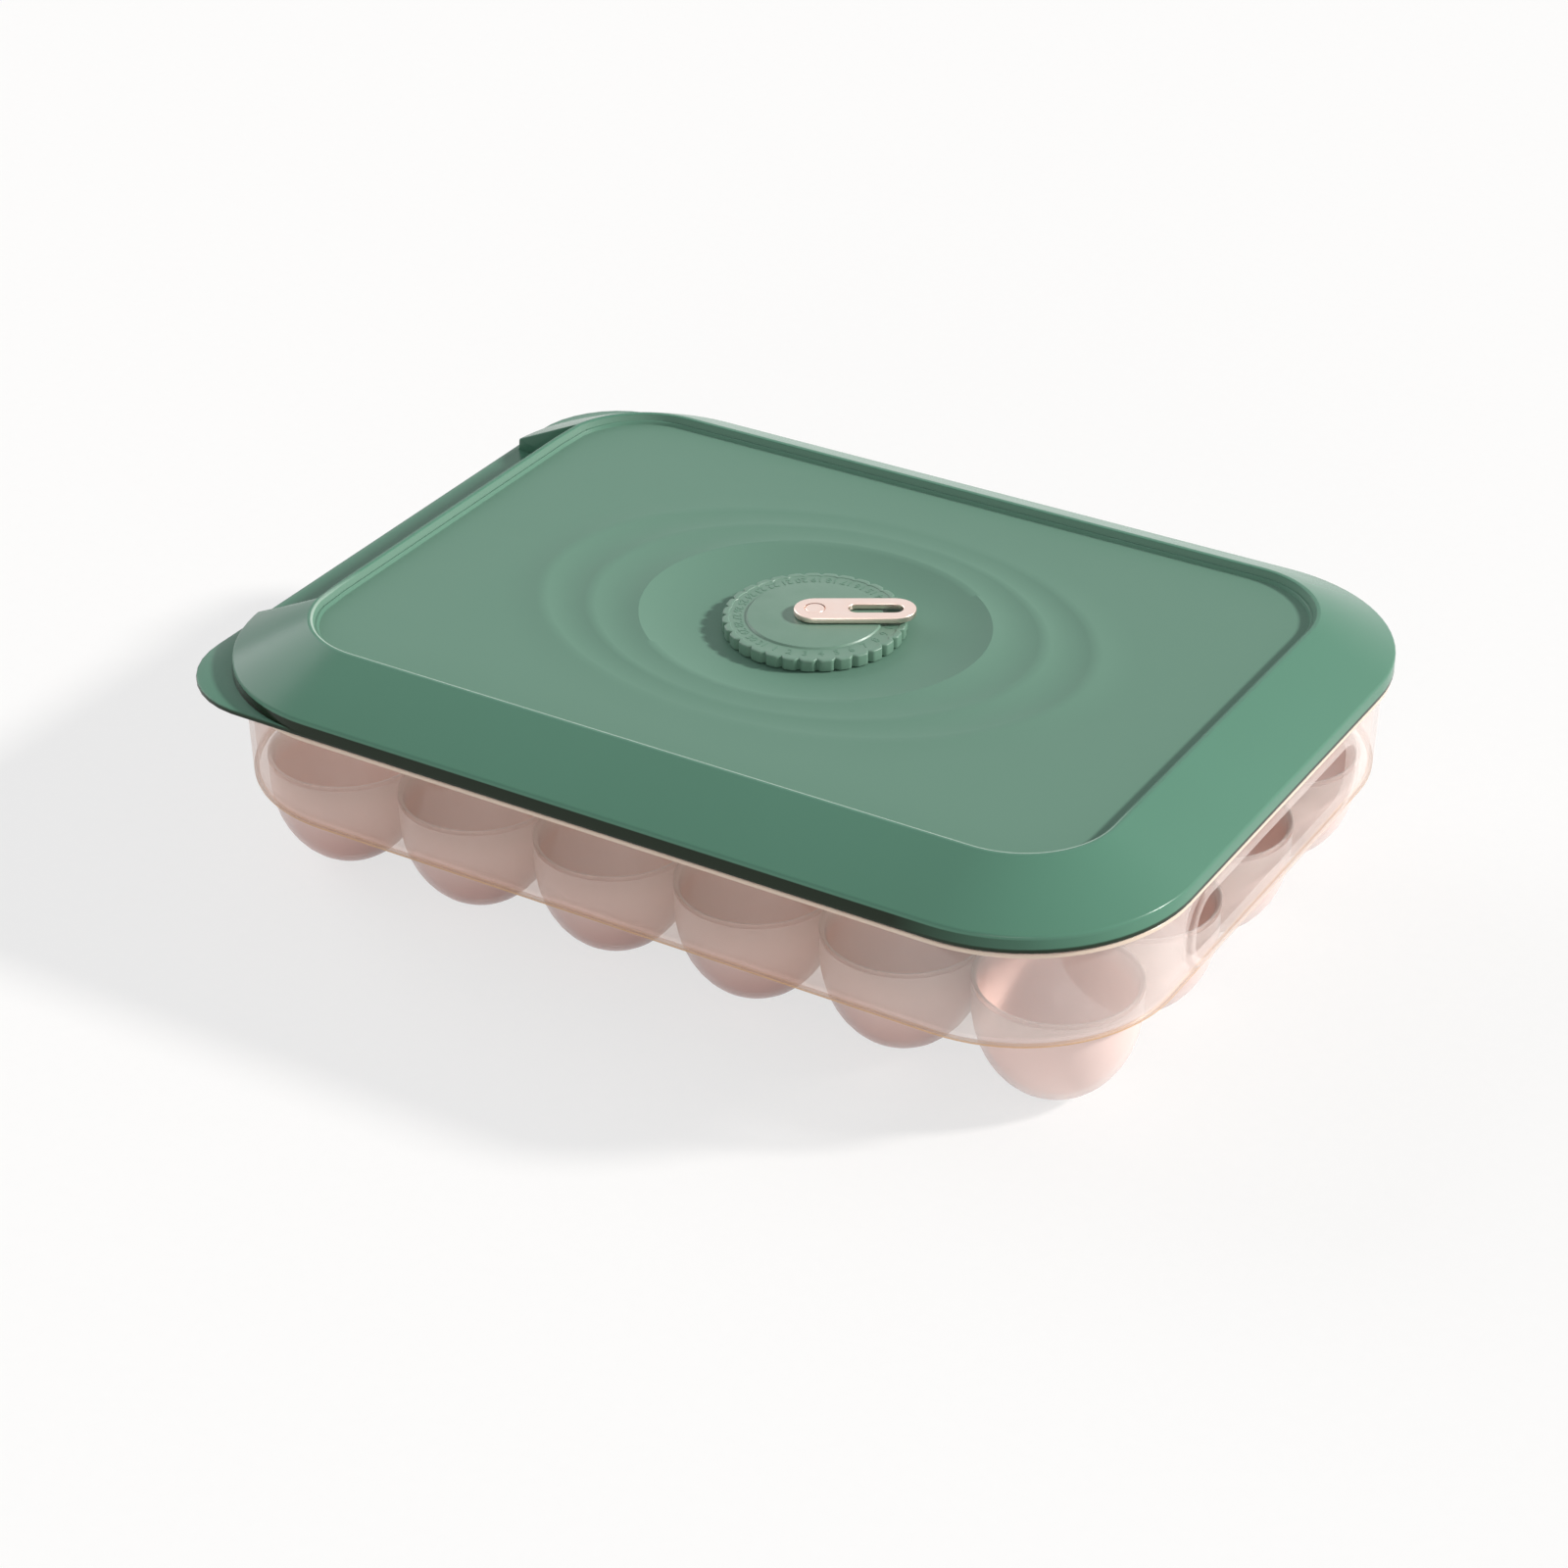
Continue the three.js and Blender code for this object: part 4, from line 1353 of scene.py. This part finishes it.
def seen_directly(nodes):
    """1 for a ray from the camera or one that a shiny or clear surface sends on, 0 for light that spreads."""
    paths = nodes.add("ShaderNodeLightPath")
    camera, glossy, through = (Wire(nodes, paths.outputs[name]) for name in
                               ("Is Camera Ray", "Is Glossy Ray", "Is Transmission Ray"))
    return camera.math("MAXIMUM", camera, camera.math("MAXIMUM", glossy, through))


def make_floor():
    corners = [(x * FLOOR_HALF, y * FLOOR_HALF, 0) for x, y in ((-1, -1), (1, -1), (1, 1), (-1, 1))]
    mesh = raw_mesh("floor", corners, [(0, 1, 2, 3)])
    finish = Finish("pale_floor", Roughness=FLOOR_ROUGHNESS, Specular_IOR_Level=0.0)
    finish.set("Base Color", finish.blend(finish.noise(FLOOR_LUMPS), FLOOR_PALE, FLOOR_WHITE))
    white = finish.node("ShaderNodeEmission", {"Color": WHITE, "Strength": 1.0})
    lit = Wire(finish, finish.shader.outputs[0])
    share = seen_directly(finish) * FLOOR_WHITE_SHARE
    both = finish.node("ShaderNodeMixShader", {0: share, 1: lit, 2: white})
    finish.feed(finish.out, "Surface", both)
    new_piece("floor", mesh, finish.material)


def add_sun(name, energy, spread, height, turn, colour):
    """A distant lamp at a height above the horizon, turned about Z from the front. Angles are in degrees."""
    sun = bpy.data.lights.new(name, "SUN")
    sun.energy = energy
    sun.angle = radians(spread)
    sun.color = colour
    placed(name, sun).rotation_euler = (radians(90 - height), 0, radians(turn))


def make_light():
    for name, settings in LAMPS.items():
        add_sun(name, *settings)
    world = bpy.data.worlds.new("studio")
    bpy.context.scene.world = world
    world.use_nodes = True
    nodes = NodeTree(world.node_tree)
    world.node_tree.nodes.clear()
    seen = seen_directly(nodes)
    shade = nodes.node("ShaderNodeBackground", {"Color": WORLD_COLOUR, "Strength": WORLD_STRENGTH})
    white = nodes.node("ShaderNodeBackground", {"Color": WHITE, "Strength": 1.0})
    both = nodes.node("ShaderNodeMixShader", {0: seen, 1: shade, 2: white})
    nodes.add("ShaderNodeOutputWorld", {"Surface": both})


make_camera()
make_floor()
make_light()
make_lid(lid_finish())
make_tray(tray_finish())
turning = turning_tree()
plating = plain_finish("pale_rose_plating")
make_dial(turning, plain_finish("green_satin"))
make_numbers(plain_finish("green_number"))
make_pointer(turning, plating)
make_pin(turning, plating)
make_washer(turning, plain_finish("plain_spring_steel"))
bpy.context.scene.view_settings.view_transform = "Standard"
